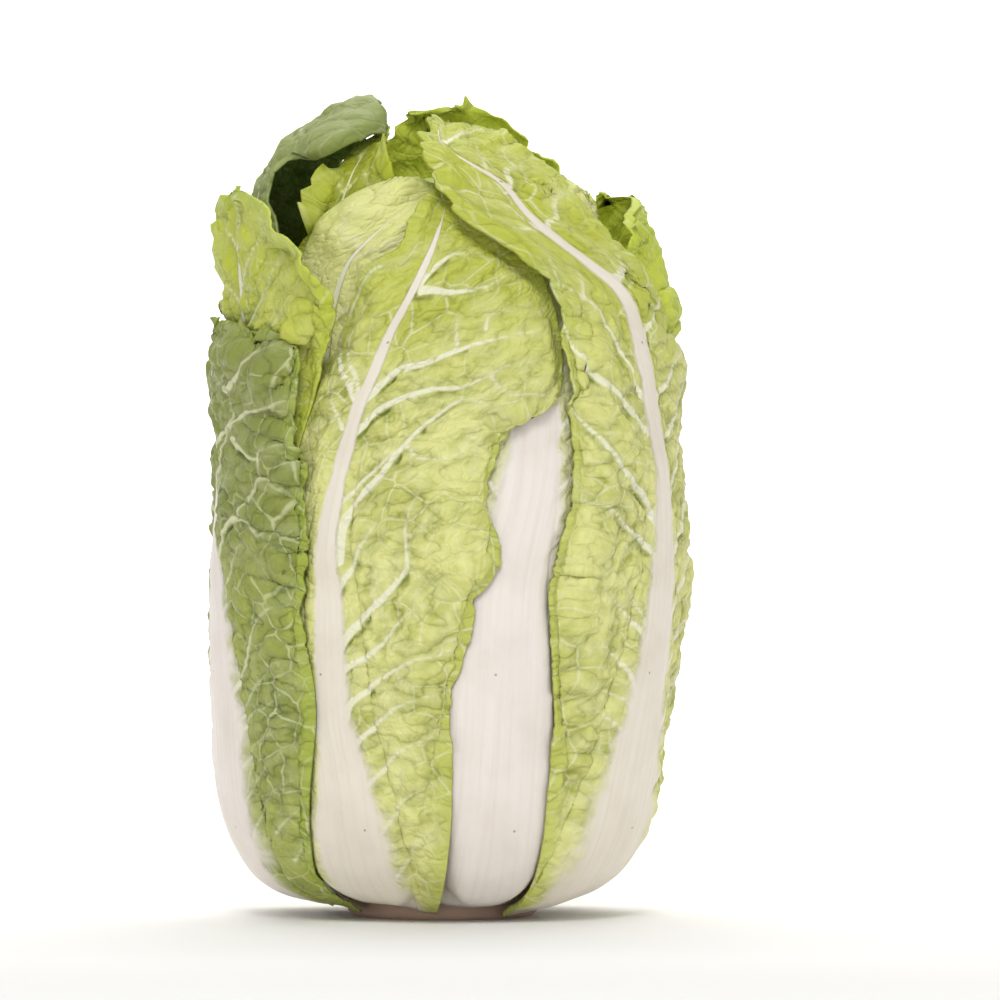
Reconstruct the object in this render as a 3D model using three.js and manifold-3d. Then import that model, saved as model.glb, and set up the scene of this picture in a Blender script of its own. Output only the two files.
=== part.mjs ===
// A head of napa cabbage, about 1 kg, standing on its trimmed stem.
//
// Millimetres, +Z up, the front of the head towards -Y and its right side towards +X.
// The origin is the middle of the cut face under the stem.
//
// The head is described on its own skin, a round barrel. A point has an angle in degrees, 0 at
// the front and 90 at the right, a length along the skin from the stem up to the crown, and a
// lift in front of the skin. Each leaf is an outline on that skin. The leaves are laid on one
// after another, from the heart outwards, and each is stretched over those already there, so
// that no leaf crosses another.
import * as THREE from "three";
import { mergeVertices } from "three/addons/utils/BufferGeometryUtils.js";
import Module from "manifold-3d";

// Driving dimensions.
const HEAD_DEPTH_SHARE = 0.93; // the head is a little flatter from front to back
const STEM_RADIUS = 28;
const STEM_FACE_CHAMFER = 1.6;
const STEM_SHOULDER_HEIGHT = 19;
const STEM_CONE_HEIGHT = 62;
const LEAF_GAP = 1.2; // between a leaf and what it lies on
const STEM_GAP = 0.7; // between the stem and what grows on it
const BLADE_THICKNESS = 1.0;
const RIB_THICKNESS_AT_BASE = 6.5;
const RIB_THICKNESS_AT_TIP = 1.3;
const HEART_DEPTH = 11.5; // the heart's surface lies this far under the skin
const HEART_ROOT_DEPTH = 15; // deeper at the bottom, where all the leaves start
const HEART_SHIFT = 3.5; // it lies deeper at the left, where more leaves lie over it
const VEIN_SPACING = 24; // between two side veins, along the midrib
const VEIN_RAISE = 2.6;
const PILLOW_RAISE = 1.2; // the blade swells this much between its veins
const WAVE_LENGTH = 18; // of the waves along a leaf's margin
const NOTCH_DEPTH = 3; // the margin is cut in this far between two side veins
const ROOT_THICKNESS_SHARE = 0.4; // a leaf is thinner where it grows out of the stem
const ROOT_LENGTH = 26;
const RELIEF_STARTS_OVER = 45; // the blade is smooth at the root and puckered above it
const VEIN_FOOT = 3.2; // from a vein's crest to the crease above it

// The skin's outline as radius and height, from the stem to the crown.
const SKIN_OUTLINE = [
  [32.5, 4],
  [41.5, 5.6],
  [50, 10.5],
  [57, 20],
  [62.5, 35.5],
  [66, 63],
  [67, 93],
  [67, 122],
  [65.5, 152],
  [60.5, 181],
  [55.5, 197],
  [47.5, 211],
  [35, 223],
  [20, 230],
  [8, 232.5],
];

// Half the midrib's width at each height, before a leaf's own share.
const RIB_HALF_WIDTH = [
  [4, 15],
  [20, 19],
  [35, 17.5],
  [63, 14],
  [93, 11],
  [122, 7.5],
  [150, 5],
  [180, 3],
  [210, 1.8],
  [240, 1.2],
];

// Each leaf, from the heart outwards. An outline row holds a height on the skin, then the angles
// of the left margin, the midrib and the right margin there.
//   rib     the midrib's width and thickness, as a share of the largest
//   wave    how far the margin's waves stand up, from the height waveFrom upwards
//   hold    lifts that the leaf holds by itself at some heights, with nothing under it
//   ribbed  its side veins stand out sharply, as on the leaves outside
//   tipEnd  length of the rounding at the tip
//   columns points across the blade
const LEAVES = [
  {
    name: "inner_leaf_frilled",
    colour: 0xc3cf73,
    rib: 0.45,
    wave: 6,
    waveFrom: 195,
    hold: [[150, -30], [195, -7], [212, -1], [227, 1]],
    tipEnd: 14,
    columns: 7,
    outline: [
      [4, -62, -47, -32],
      [35, -66, -47, -28],
      [93, -74, -46, -20],
      [150, -78, -44, -14],
      [190, -76, -42, -12],
      [210, -72, -42, -14],
      [222, -68, -42, -20],
      [227, -62, -42, -26],
    ],
  },
  {
    name: "inner_leaf_left",
    colour: 0xcdd68a,
    rib: 0.6,
    wave: 2.5,
    waveFrom: 190,
    hold: [[150, -30], [190, -9], [213, -5]],
    tipEnd: 12,
    columns: 9,
    outline: [
      [4, -60, -44, -28],
      [35, -66, -45, -26],
      [93, -72, -42, -12],
      [140, -70, -40, -2],
      [165, -64, -37, 5],
      [178, -58, -35, 8],
      [191, -52, -30, 10],
      [200, -44, -20, 12],
      [207, -36, -10, 14],
      [213, -28, -3, 16],
    ],
  },
  {
    name: "crown_leaf",
    colour: 0x9fb83f,
    rib: 0.5,
    wave: 6,
    waveFrom: 205,
    hold: [[170, -30], [203, -4], [216, 2], [228, 8]],
    tipEnd: 14,
    columns: 9,
    outline: [
      [4, 138, 165, 192],
      [35, 136, 168, 196],
      [93, 130, 170, 210],
      [150, 122, 170, 222],
      [185, 122, 170, 224],
      [205, 126, 168, 218],
      [218, 132, 166, 214],
      [229, 138, 164, 206],
    ],
  },
  {
    name: "inner_leaf_right",
    colour: 0xd0d88c,
    rib: 0.55,
    wave: 4,
    waveFrom: 205,
    hold: [[150, -30], [195, -9], [218, -7]],
    tipEnd: 14,
    columns: 7,
    outline: [
      [4, 70, 92, 112],
      [35, 66, 92, 116],
      [93, 58, 91, 124],
      [150, 50, 88, 126],
      [190, 48, 84, 118],
      [208, 48, 80, 108],
      [218, 50, 76, 98],
    ],
  },
  {
    name: "centre_leaf",
    colour: 0xe4e6c8,
    rib: 1,
    wave: 1.5,
    waveFrom: 60,
    hold: [[4, -4], [40, -6], [93, -8], [203, -12]],
    tipEnd: 14,
    columns: 9,
    outline: [
      [4, -6, 17, 43],
      [20, -6, 15, 41],
      [50, -9, 16, 42],
      [93, -18, 18, 52],
      [130, -25, 26, 60],
      [160, -22, 29, 60],
      [185, -12, 30, 54],
      [203, 4, 28, 46],
    ],
  },
  {
    name: "hooded_leaf",
    colour: 0x8ea45c,
    rib: 0.7,
    wave: 3,
    waveFrom: 200,
    hold: [[150, -30], [188, -5], [203, 3], [211, 6], [223, 8.5], [229, 8], [231.5, 0]],
    tipEnd: 14,
    columns: 9,
    outline: [
      [4, -96, -78, -60],
      [35, -104, -78, -54],
      [93, -120, -78, -46],
      [150, -130, -79, -42],
      [185, -134, -80, -44],
      [205, -136, -80, -52],
      [214, -138, -80, -50],
      [220, -138, -79, -42],
      [226, -136, -76, -34],
      [231.5, -128, -74, -30],
    ],
  },
  {
    name: "back_left_leaf",
    colour: 0x9db05f,
    rib: 0.9,
    wave: 3.5,
    waveFrom: 120,
    hold: [[4, -5], [150, -8], [190, -5], [212, 1]],
    ribbed: true,
    tipEnd: 14,
    columns: 9,
    outline: [
      [4, 210, 228, 246],
      [35, 206, 228, 250],
      [63, 200, 228, 256],
      [93, 192, 228, 262],
      [130, 186, 228, 266],
      [160, 188, 228, 264],
      [185, 194, 226, 256],
      [202, 202, 224, 246],
      [212, 208, 222, 238],
    ],
  },
  {
    name: "front_left_leaf",
    colour: 0xc0cb78,
    rib: 0.68,
    wave: 2,
    waveFrom: 60,
    hold: [[4, -4], [40, -6], [150, -7], [212, -5]],
    ribbed: true,
    tipEnd: 12,
    columns: 15,
    outline: [
      [4, -54, -26, -2],
      [20, -50, -26, 2],
      [35, -45, -26, 3],
      [63, -46, -29, 3.5],
      [78, -49, -29.5, 7],
      [93, -53, -30, 10],
      [106, -57, -31, 16],
      [125, -58, -28.5, 14],
      [143, -54, -24, 19],
      [155, -44, -20, 31],
      [170, -31, -14, 32],
      [184, -25, -7, 29],
      [196, -12, -2, 26],
      [212, -4, 3, 16],
    ],
  },
  {
    name: "front_right_leaf",
    colour: 0xc3cd7c,
    rib: 1,
    wave: 2,
    waveFrom: 60,
    hold: [[4, -5], [63, -6], [150, -7], [190, -3], [219, 0], [229, 0]],
    ribbed: true,
    tipEnd: 8,
    columns: 15,
    outline: [
      [4, 36, 56, 76],
      [20, 34, 57, 78],
      [35, 33, 58, 82],
      [63, 30, 63, 92],
      [93, 29, 70, 105],
      [128, 37, 73, 112],
      [143, 36.6, 69, 110],
      [166, 33, 65, 105],
      [181, 30, 62, 94],
      [190, 20, 48, 80],
      [197, 8, 36, 66],
      [204, 0, 27, 52],
      [212, -6, 21, 46],
      [217, -8, 10, 44],
      [221, -10, -1, 42],
      [229.5, -10, -4, 38],
    ],
  },
  {
    name: "back_right_leaf",
    colour: 0x9ab44a,
    rib: 0.95,
    wave: 6,
    waveFrom: 100,
    hold: [[4, -4], [63, -5], [150, -3], [185, 2], [196, 4], [206, 3], [212, 1]],
    ribbed: true,
    tipEnd: 14,
    columns: 11,
    outline: [
      [4, 104, 122, 140],
      [35, 100, 124, 148],
      [63, 96, 127, 158],
      [80, 94, 129, 164],
      [93, 93, 130, 168],
      [122, 92, 132, 174],
      [150, 92, 133, 176],
      [181, 92, 134, 172],
      [195, 94, 132, 166],
      [206, 98, 126, 154],
      [212, 101, 120, 142],
    ],
  },
  {
    name: "back_leaf",
    colour: 0xa3b665,
    rib: 0.95,
    wave: 4,
    waveFrom: 120,
    hold: [[4, -4], [63, -6], [150, -5], [190, -2], [210, 2]],
    ribbed: true,
    tipEnd: 14,
    columns: 9,
    outline: [
      [4, 162, 182, 202],
      [35, 160, 182, 204],
      [63, 154, 182, 210],
      [93, 146, 182, 218],
      [130, 140, 182, 226],
      [160, 140, 183, 226],
      [185, 146, 184, 220],
      [200, 154, 184, 212],
      [210, 162, 184, 206],
    ],
  },
  {
    name: "left_leaf",
    colour: 0xb3c468,
    rib: 0.8,
    wave: 3,
    waveFrom: 165,
    hold: [[4, -8], [150, -9], [185, -4], [209, -2]],
    ribbed: true,
    tipEnd: 10,
    columns: 11,
    outline: [
      [4, -130, -112, -94],
      [35, -132, -110, -84],
      [63, -132, -105, -72],
      [93, -130, -97, -60],
      [122, -126, -88, -47],
      [150, -118, -80, -36],
      [169, -110, -76, -28],
      [180, -104, -76, -24],
      [190, -98, -76, -30],
      [200, -93, -77, -44],
      [209, -90, -78, -60],
    ],
  },
  {
    name: "outer_left_leaf",
    colour: 0x8fa566,
    rib: 1,
    wave: 3,
    waveFrom: 90,
    hold: [[4, -6], [63, -6], [150, -5], [172, -2]],
    ribbed: true,
    tipEnd: 7,
    columns: 11,
    outline: [
      [4, -98, -80, -52],
      [12, -98, -79, -48],
      [20, -99, -78, -41],
      [35, -100, -77, -37],
      [63, -104, -75, -33],
      [93, -112, -81, -36],
      [110, -118, -87, -34],
      [130, -122, -91, -35],
      [150, -122, -93, -34],
      [163, -116, -94, -35.5],
      [172, -108, -94, -38],
    ],
  },
];

const HEART_COLOUR = 0xd9dfa6;
const STEM_COLOUR = 0xd8c9b4;

// How much the laterals climb for each millimetre away from the midrib, low down and high up.
const VEIN_SLOPE_LOW = 0.95;
const VEIN_SLOPE_HIGH = 0.55;
const SLOPE_STARTS_OVER = 85; // the first rows lie level, where the leaf bends round the base
const WAVE_SHARPNESS = 3;
const SETTLE_PASSES = 40; // how far a leaf stretches over what lies under it
const PRESS_OUTSIDE = 4; // a leaf laid on later presses this far outside its margin
const PRESS_INSIDE = 9; // and fully from this far inside
const RIB_FOOT = 6; // the blade reaches its full relief this far from the midrib
const WAVE_RUN_IN = 30; // the waves grow from this far below their start
const WAVE_RUN_OUT = 15;
const TIP_SQUARENESS = 0.92; // a tip keeps a little width at its very end
const EDGE_PASSES = 14; // to find where a slanted row meets the margin
const ANGLE_STEP = 3;
const SKIN_STEP = 4;
const DEGREE = Math.PI / 180;

const wasm = await Module();
wasm.setup();

const clamp = (x, low, high) => Math.min(high, Math.max(low, x));
const mix = (a, b, t) => a + (b - a) * t;

function ramp(x, from, to) {
  const t = clamp((x - from) / (to - from), 0, 1);
  return t * t * (3 - 2 * t);
}

// A smooth line through points [x, y] that never swings past them.
function through(points) {
  const n = points.length;
  const slopes = [];
  for (let i = 0; i < n - 1; i++)
    slopes.push((points[i + 1][1] - points[i][1]) / (points[i + 1][0] - points[i][0]));
  const tangents = [slopes[0]];
  for (let i = 1; i < n - 1; i++) {
    const before = slopes[i - 1];
    const after = slopes[i];
    tangents.push(before * after > 0 ? (2 * before * after) / (before + after) : 0);
  }
  tangents.push(slopes[n - 2]);
  return (x) => {
    const at = clamp(x, points[0][0], points[n - 1][0]);
    let i = 0;
    while (i < n - 2 && at > points[i + 1][0]) i++;
    const span = points[i + 1][0] - points[i][0];
    const t = (at - points[i][0]) / span;
    const u = 1 - t;
    return (
      points[i][1] * (1 + 2 * t) * u * u +
      tangents[i] * span * t * u * u +
      points[i + 1][1] * t * t * (3 - 2 * t) -
      tangents[i + 1] * span * t * t * u
    );
  };
}

// The skin by its length from the stem: radius, height, and which way it faces.
function makeSkin() {
  const curve = new THREE.SplineCurve(SKIN_OUTLINE.map(([r, z]) => new THREE.Vector2(r, z)));
  const points = curve.getSpacedPoints(400);
  const length = curve.getLength();
  const step = length / (points.length - 1);
  const at = (s) => {
    const place = clamp(s, 0, length) / step;
    const i = Math.min(points.length - 2, Math.floor(place));
    const a = points[i];
    const b = points[i + 1];
    const along = b.clone().sub(a).normalize();
    const point = a.clone().lerp(b, place - i);
    return { radius: point.x, height: point.y, outX: along.y, outZ: -along.x };
  };
  const lengthAtHeight = (z) => {
    let i = 0;
    while (i < points.length - 2 && points[i + 1].y < z) i++;
    return (i + clamp((z - points[i].y) / (points[i + 1].y - points[i].y), 0, 1)) * step;
  };
  return { length, at, lengthAtHeight };
}

const skin = makeSkin();

function place(angle, s, lift) {
  const { radius, height, outX, outZ } = skin.at(s);
  const r = radius + outX * lift;
  return new THREE.Vector3(
    r * Math.sin(angle * DEGREE),
    -r * Math.cos(angle * DEGREE) * HEAD_DEPTH_SHARE,
    height + outZ * lift,
  );
}

// The lift of the topmost surface so far, on a grid of angles and lengths.
const angleCount = 360 / ANGLE_STEP;
const lengthCount = Math.ceil(skin.length / SKIN_STEP) + 1;
const wrap = (i) => ((i % angleCount) + angleCount) % angleCount;

function makeGrid(valueAt) {
  const grid = [];
  for (let i = 0; i < angleCount; i++) {
    grid.push([]);
    for (let j = 0; j < lengthCount; j++)
      grid[i].push(valueAt(i * ANGLE_STEP, Math.min(j * SKIN_STEP, skin.length), i, j));
  }
  return grid;
}

function readGrid(grid, angle, s) {
  const a = (((angle % 360) + 360) % 360) / ANGLE_STEP;
  const b = clamp(s / SKIN_STEP, 0, lengthCount - 1.001);
  const i = Math.floor(a);
  const j = Math.floor(b);
  const low = mix(grid[wrap(i)][j], grid[wrap(i + 1)][j], a - i);
  const high = mix(grid[wrap(i)][j + 1], grid[wrap(i + 1)][j + 1], a - i);
  return mix(low, high, b - j);
}

// A leaf's sheet: stretched over the grid, a gap above it, and no lower than it holds itself.
function stretchOver(grid, hold) {
  const floor = makeGrid((angle, s, i, j) => Math.max(grid[i][j] + LEAF_GAP, hold(s)));
  let sheet = floor;
  for (let pass = 0; pass < SETTLE_PASSES; pass++) {
    const last = sheet;
    sheet = makeGrid((angle, s, i, j) => {
      const below = last[i][Math.max(0, j - 1)];
      const above = last[i][Math.min(lengthCount - 1, j + 1)];
      const mean = (last[wrap(i - 1)][j] + last[wrap(i + 1)][j] + below + above) / 4;
      return Math.max(floor[i][j], mean);
    });
  }
  return sheet;
}

// The heart lies deeper where more leaves lie over it, and its crown is a hollow between them.
const depthAlong = through([
  [0, HEART_ROOT_DEPTH],
  [30, HEART_DEPTH],
  [190, HEART_DEPTH + 1],
  [230, HEART_DEPTH + 3],
  [skin.length, HEART_DEPTH + 8],
]);
const heartDepth = (angle, s) =>
  depthAlong(s) - HEART_SHIFT * Math.sin(angle * DEGREE) * ramp(s, 0, 60);

// What a leaf's rows say, as functions of the length along the skin.
function shapeOf(leaf) {
  const start = skin.lengthAtHeight(leaf.outline[0][0]);
  const end = skin.lengthAtHeight(leaf.outline[leaf.outline.length - 1][0]);
  const column = (k) => through(leaf.outline.map((row) => [skin.lengthAtHeight(row[0]), row[k]]));
  const left = column(1);
  const middle = column(2);
  const right = column(3);
  const ribWidth = through(RIB_HALF_WIDTH.map(([z, w]) => [skin.lengthAtHeight(z), w]));
  const tipRound = (s) => {
    const past = clamp((s - end + leaf.tipEnd) / leaf.tipEnd, 0, 1);
    return Math.sqrt(1 - TIP_SQUARENESS * past ** 2);
  };
  const perDegree = (s) => skin.at(s).radius * DEGREE;
  // Distance from the midrib to a margin, in millimetres. Side is -1 for left and 1 for right.
  const width = (s, side) =>
    Math.abs((side < 0 ? left(s) : right(s)) - middle(s)) * perDegree(s) * tipRound(s);
  const along = (s) => (s - start) / (end - start);
  const ribHalf = (s) => Math.min(ribWidth(s) * leaf.rib, 0.8 * width(s, -1) + 1);
  const thickness = (s, across) => {
    const rib = mix(RIB_THICKNESS_AT_BASE, RIB_THICKNESS_AT_TIP, ramp(along(s), 0.1, 0.9)) * leaf.rib;
    const root = mix(ROOT_THICKNESS_SHARE, 1, ramp(s, start, start + ROOT_LENGTH));
    const crown = clamp(1 - (across / (1.25 * ribHalf(s))) ** 2, 0, 1);
    return BLADE_THICKNESS + Math.max(0, rib * root - BLADE_THICKNESS) * crown ** 0.6;
  };
  const hold = through(leaf.hold.map(([z, lift]) => [skin.lengthAtHeight(z), lift]));
  const waveStart = skin.lengthAtHeight(leaf.waveFrom);
  const waveHeight = (s, share) => {
    const grown = ramp(s, waveStart - WAVE_RUN_IN, waveStart + WAVE_RUN_OUT);
    return leaf.wave * Math.abs(share) ** WAVE_SHARPNESS * grown;
  };
  return { start, end, middle, width, along, ribHalf, thickness, hold, waveHeight, perDegree };
}

// The relief fades out towards the root.
const reliefShare = (shape, s) => ramp(s, shape.start + 5, shape.start + RELIEF_STARTS_OVER);

const turn = (angle) => ((((angle + 180) % 360) + 360) % 360) - 180;

// How far inside a leaf's outline a place lies, in millimetres, and below 0 outside it.
function roomInside(shape, angle, s) {
  const at = clamp(s, shape.start, shape.end);
  const across = turn(angle - shape.middle(at)) * shape.perDegree(at);
  const side = across < 0 ? -1 : 1;
  return Math.min(shape.width(at, side) - Math.abs(across), s - shape.start + 1, shape.end - s);
}

// 1 where a leaf lies open, and 0 where one that was laid on later presses it flat.
function openness(order, angle, s) {
  let open = 1;
  for (const shape of shapes.slice(order + 1))
    open = Math.min(open, 1 - ramp(roomInside(shape, angle, s), -PRESS_OUTSIDE, PRESS_INSIDE));
  return open;
}

// The rows of points from a leaf's root to its tip: where each leaves the midrib, how far it is
// raised, and whether the margin is cut in there. A row follows a side vein, the crease above it
// or the middle of the blade between two veins.
function rowsOf(leaf, shape) {
  const veins = Math.round((shape.end - shape.start) / VEIN_SPACING);
  const spacing = (shape.end - shape.start) / veins;
  const rows = [];
  for (let vein = 0; vein < veins; vein++) {
    const root = shape.start + vein * spacing;
    rows.push({ root, raise: VEIN_RAISE, swell: 0, notch: 0 });
    if (leaf.ribbed) rows.push({ root: root + VEIN_FOOT, raise: 0, swell: 0, notch: NOTCH_DEPTH });
    rows.push({ root: root + spacing / 2, raise: 0, swell: PILLOW_RAISE, notch: NOTCH_DEPTH / 2 });
  }
  rows.push({ root: shape.end, raise: 0, swell: 0, notch: 0 });
  return rows;
}

// The inner and outer points of a leaf, row by row from the stem to the tip.
function leafPoints(leaf, order, sheet) {
  const shape = shapes[order];
  const rows = rowsOf(leaf, shape);
  const columns = leaf.columns;
  const cutStart = skin.lengthAtHeight(leaf.waveFrom) - WAVE_RUN_IN;
  const inner = [];
  const raised = [];
  rows.forEach(({ root, raise, swell, notch }, i) => {
    const slope =
      mix(VEIN_SLOPE_LOW, VEIN_SLOPE_HIGH, shape.along(root)) *
      ramp(root, shape.start + ROOT_LENGTH, shape.start + SLOPE_STARTS_OVER);
    const climb = (across) => {
      const rise = slope * across;
      return root + rise / (1 + rise / (shape.end - root + 0.01));
    };
    inner.push([]);
    raised.push([]);
    for (let j = 0; j < columns; j++) {
      const share = (2 * j) / (columns - 1) - 1;
      const side = share < 0 ? -1 : 1;
      let edge = shape.width(root, side);
      for (let pass = 0; pass < EDGE_PASSES; pass++) edge = (edge + shape.width(climb(edge), side)) / 2;
      const cut = notch * ramp(climb(edge), cutStart, cutStart + WAVE_RUN_IN);
      const across = Math.abs(share) * (edge - cut * share ** 4);
      const s = climb(across);
      const angle = shape.middle(s) + (side * across) / shape.perDegree(s);
      const open = openness(order, angle, s);
      const swing = 0.5 + 0.5 * Math.sin((root / WAVE_LENGTH) * 2 * Math.PI + order * 1.7 + side);
      const wave = shape.waveHeight(s, share) * open * swing;
      const lift = readGrid(sheet, angle, s) + wave;
      inner[i].push(place(angle, s, lift));
      const onBlade =
        ramp(across, shape.ribHalf(s) * 0.6, shape.ribHalf(s) + RIB_FOOT) * (1 - Math.abs(share) ** 6);
      const pillow = j % 2 === 0 ? swell : 0;
      const relief = onBlade * open * reliefShare(shape, s) * (raise + swell + pillow);
      raised[i].push(place(angle, s, lift + shape.thickness(s, across) - BLADE_THICKNESS + relief));
    }
  });
  const outer = inner.map((row, i) =>
    row.map((_, j) => {
      const below = inner[Math.max(0, i - 1)][j];
      const above = inner[Math.min(inner.length - 1, i + 1)][j];
      const toRight = row[Math.min(columns - 1, j + 1)].clone().sub(row[Math.max(0, j - 1)]);
      const facing = toRight.cross(above.clone().sub(below)).normalize();
      return raised[i][j].clone().addScaledVector(facing, BLADE_THICKNESS);
    }),
  );
  return { inner, outer };
}

function solidFrom(points, triangles) {
  const geometry = new THREE.BufferGeometry();
  geometry.setAttribute(
    "position",
    new THREE.Float32BufferAttribute(
      points.flatMap((p) => [p.x, p.y, p.z]),
      3,
    ),
  );
  geometry.setIndex(triangles);
  geometry.computeVertexNormals();
  return geometry;
}

// Joins the two faces of a leaf round its margin into one closed body.
function closeLeaf({ inner, outer }) {
  const rows = inner.length;
  const columns = inner[0].length;
  const points = [...outer.flat(), ...inner.flat()];
  const out = (i, j) => i * columns + j;
  const back = (i, j) => rows * columns + out(i, j);
  const triangles = [];
  for (let i = 0; i < rows - 1; i++)
    for (let j = 0; j < columns - 1; j++) {
      // Both faces are cut along the same diagonal.
      triangles.push(out(i, j), out(i, j + 1), out(i + 1, j + 1));
      triangles.push(out(i, j), out(i + 1, j + 1), out(i + 1, j));
      triangles.push(back(i, j), back(i + 1, j + 1), back(i, j + 1));
      triangles.push(back(i, j), back(i + 1, j), back(i + 1, j + 1));
    }
  const rim = (a, b, c, d) => triangles.push(a, b, c, a, c, d);
  for (let i = 0; i < rows - 1; i++) {
    rim(out(i, 0), out(i + 1, 0), back(i + 1, 0), back(i, 0));
    rim(out(i + 1, columns - 1), out(i, columns - 1), back(i, columns - 1), back(i + 1, columns - 1));
  }
  for (let j = 0; j < columns - 1; j++) {
    rim(out(0, j + 1), out(0, j), back(0, j), back(0, j + 1));
    rim(out(rows - 1, j), out(rows - 1, j + 1), back(rows - 1, j + 1), back(rows - 1, j));
  }
  return solidFrom(points, triangles);
}

// The stem's outline as radius and height. Above its shoulder it is a cone inside the heart.
function stemOutline(grow) {
  return [
    [STEM_RADIUS + grow, STEM_FACE_CHAMFER],
    [STEM_RADIUS - 0.6 + grow, STEM_SHOULDER_HEIGHT * 0.5],
    [STEM_RADIUS - 1.5 + grow, STEM_SHOULDER_HEIGHT],
    [STEM_RADIUS * 0.62 + grow, mix(STEM_SHOULDER_HEIGHT, STEM_CONE_HEIGHT, 0.55)],
    [STEM_RADIUS * 0.25 + grow, STEM_CONE_HEIGHT + grow],
  ];
}

function stemGeometry() {
  const outline = [
    [0, 0],
    [STEM_RADIUS - STEM_FACE_CHAMFER, 0],
    ...stemOutline(0),
    [0, STEM_CONE_HEIGHT + 2],
  ].map(([r, z]) => new THREE.Vector2(r, z));
  return new THREE.LatheGeometry(outline, 28).rotateX(Math.PI / 2);
}

// The heart: the tight inner leaves. Their folds are steps that wind round it. Below, it has a
// hollow for the stem's cone.
const HEART_SIDES = 36;
const HEART_ROWS = 19;
const HEART_FOLDS = 5;
const HEART_FOLD_STEP = 2.4;
const CROWN_FOLD_STEP = 6;

function heartLift(angle, s) {
  const turns = (angle / 360) * HEART_FOLDS + 1.1 * (s / skin.length);
  const step = mix(HEART_FOLD_STEP, CROWN_FOLD_STEP, ramp(s, skin.length * 0.78, skin.length * 0.92));
  const under = step * (1 - turns + Math.floor(turns));
  const grow = ramp(s, 10, 60);
  return -heartDepth(angle, s) - grow * under;
}

function heartGeometry() {
  const points = [];
  const triangles = [];
  const ring = (k, j) => k * HEART_SIDES + (j % HEART_SIDES);
  for (let i = 0; i < HEART_ROWS; i++)
    for (let j = 0; j < HEART_SIDES; j++) {
      const angle = (360 / HEART_SIDES) * j;
      const s = (skin.length * i) / (HEART_ROWS - 1);
      points.push(place(angle, s, heartLift(angle, s)));
    }
  const bottom = place(0, 0, heartLift(0, 0)).z;
  const hollow = stemOutline(STEM_GAP).filter(([, z]) => z > bottom);
  hollow.unshift([STEM_RADIUS + STEM_GAP - 1, bottom]);
  for (const [r, z] of hollow)
    for (let j = 0; j < HEART_SIDES; j++) {
      const angle = (360 / HEART_SIDES) * j * DEGREE;
      points.push(new THREE.Vector3(r * Math.sin(angle), -r * Math.cos(angle), z));
    }
  const crown = points.push(place(0, skin.length, -heartDepth(0, skin.length)).setX(0).setY(0)) - 1;
  const hollowTop = points.push(new THREE.Vector3(0, 0, STEM_CONE_HEIGHT + 2 + STEM_GAP)) - 1;
  const band = (low, high) => {
    for (let j = 0; j < HEART_SIDES; j++) {
      triangles.push(ring(low, j), ring(low, j + 1), ring(high, j + 1));
      triangles.push(ring(low, j), ring(high, j + 1), ring(high, j));
    }
  };
  for (let i = 0; i < HEART_ROWS - 1; i++) band(i, i + 1);
  band(HEART_ROWS, 0);
  for (let k = 0; k < hollow.length - 1; k++) band(HEART_ROWS + k + 1, HEART_ROWS + k);
  for (let j = 0; j < HEART_SIDES; j++) {
    triangles.push(crown, ring(HEART_ROWS - 1, j), ring(HEART_ROWS - 1, j + 1));
    const last = HEART_ROWS + hollow.length - 1;
    triangles.push(hollowTop, ring(last, j + 1), ring(last, j));
  }
  return solidFrom(points, triangles);
}

// The tips of the innermost leaves, rolled round each other in the crown's hollow.
const TIP_COUNT = 7;
const TIP_TURN = 137.5; // each leaf grows this many degrees round from the last
const TIP_ROOT_HEIGHT = 200;
const TIP_TOP_HEIGHT = 229;
const TIP_THICKNESS = 1;
const TIP_HALF_WIDTH = 21;
const TIP_INNER_RADIUS = 7;
const TIP_SPACING = 2.9;
const TIP_FRILL = 0.9;
const TIP_LEAN = 2; // the tips lean out this far
const TIP_DROP = 1.6; // each is this much lower than the one inside it
const TIP_ROUNDING = 8; // its corners are this much lower than its middle
const TIP_TOOTH = 1.5;
const TIP_ROWS = 3;
const TIP_COLUMNS = 9;

function tipPoints(k) {
  const radius = TIP_INNER_RADIUS + TIP_SPACING * k;
  const inner = [];
  const outer = [];
  for (let i = 0; i < TIP_ROWS; i++) {
    const up = i / (TIP_ROWS - 1);
    inner.push([]);
    outer.push([]);
    for (let j = 0; j < TIP_COLUMNS; j++) {
      const share = (2 * j) / (TIP_COLUMNS - 1) - 1;
      const angle = TIP_TURN * k * DEGREE + (share * TIP_HALF_WIDTH) / (radius + TIP_LEAN);
      const frill = TIP_FRILL * up * up * (j % 2 ? 1 : -1);
      const tooth = j % 2 ? TIP_TOOTH : 0;
      const top = TIP_TOP_HEIGHT - TIP_DROP * k - TIP_ROUNDING * share * share + tooth;
      const z = mix(TIP_ROOT_HEIGHT, top, up);
      const r = radius + TIP_LEAN * up + frill;
      const side = new THREE.Vector3(Math.sin(angle), -Math.cos(angle), 0);
      inner[i].push(side.clone().multiplyScalar(r).setZ(z));
      outer[i].push(side.clone().multiplyScalar(r + TIP_THICKNESS).setZ(z));
    }
  }
  return { inner, outer };
}

function joined(geometries) {
  const solids = geometries.map((geometry) => {
    const bare = geometry.clone();
    bare.deleteAttribute("normal");
    const merged = mergeVertices(bare, 1e-3);
    return new wasm.Manifold(
      new wasm.Mesh({
        numProp: 3,
        vertProperties: merged.attributes.position.array,
        triVerts: new Uint32Array(merged.index.array),
      }),
    );
  });
  const mesh = solids.reduce((all, next) => all.add(next)).getMesh();
  const points = [];
  for (let i = 0; i < mesh.numVert; i++)
    points.push(new THREE.Vector3(...mesh.vertProperties.subarray(3 * i, 3 * i + 3)));
  return solidFrom(points, [...mesh.triVerts]);
}

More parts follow.
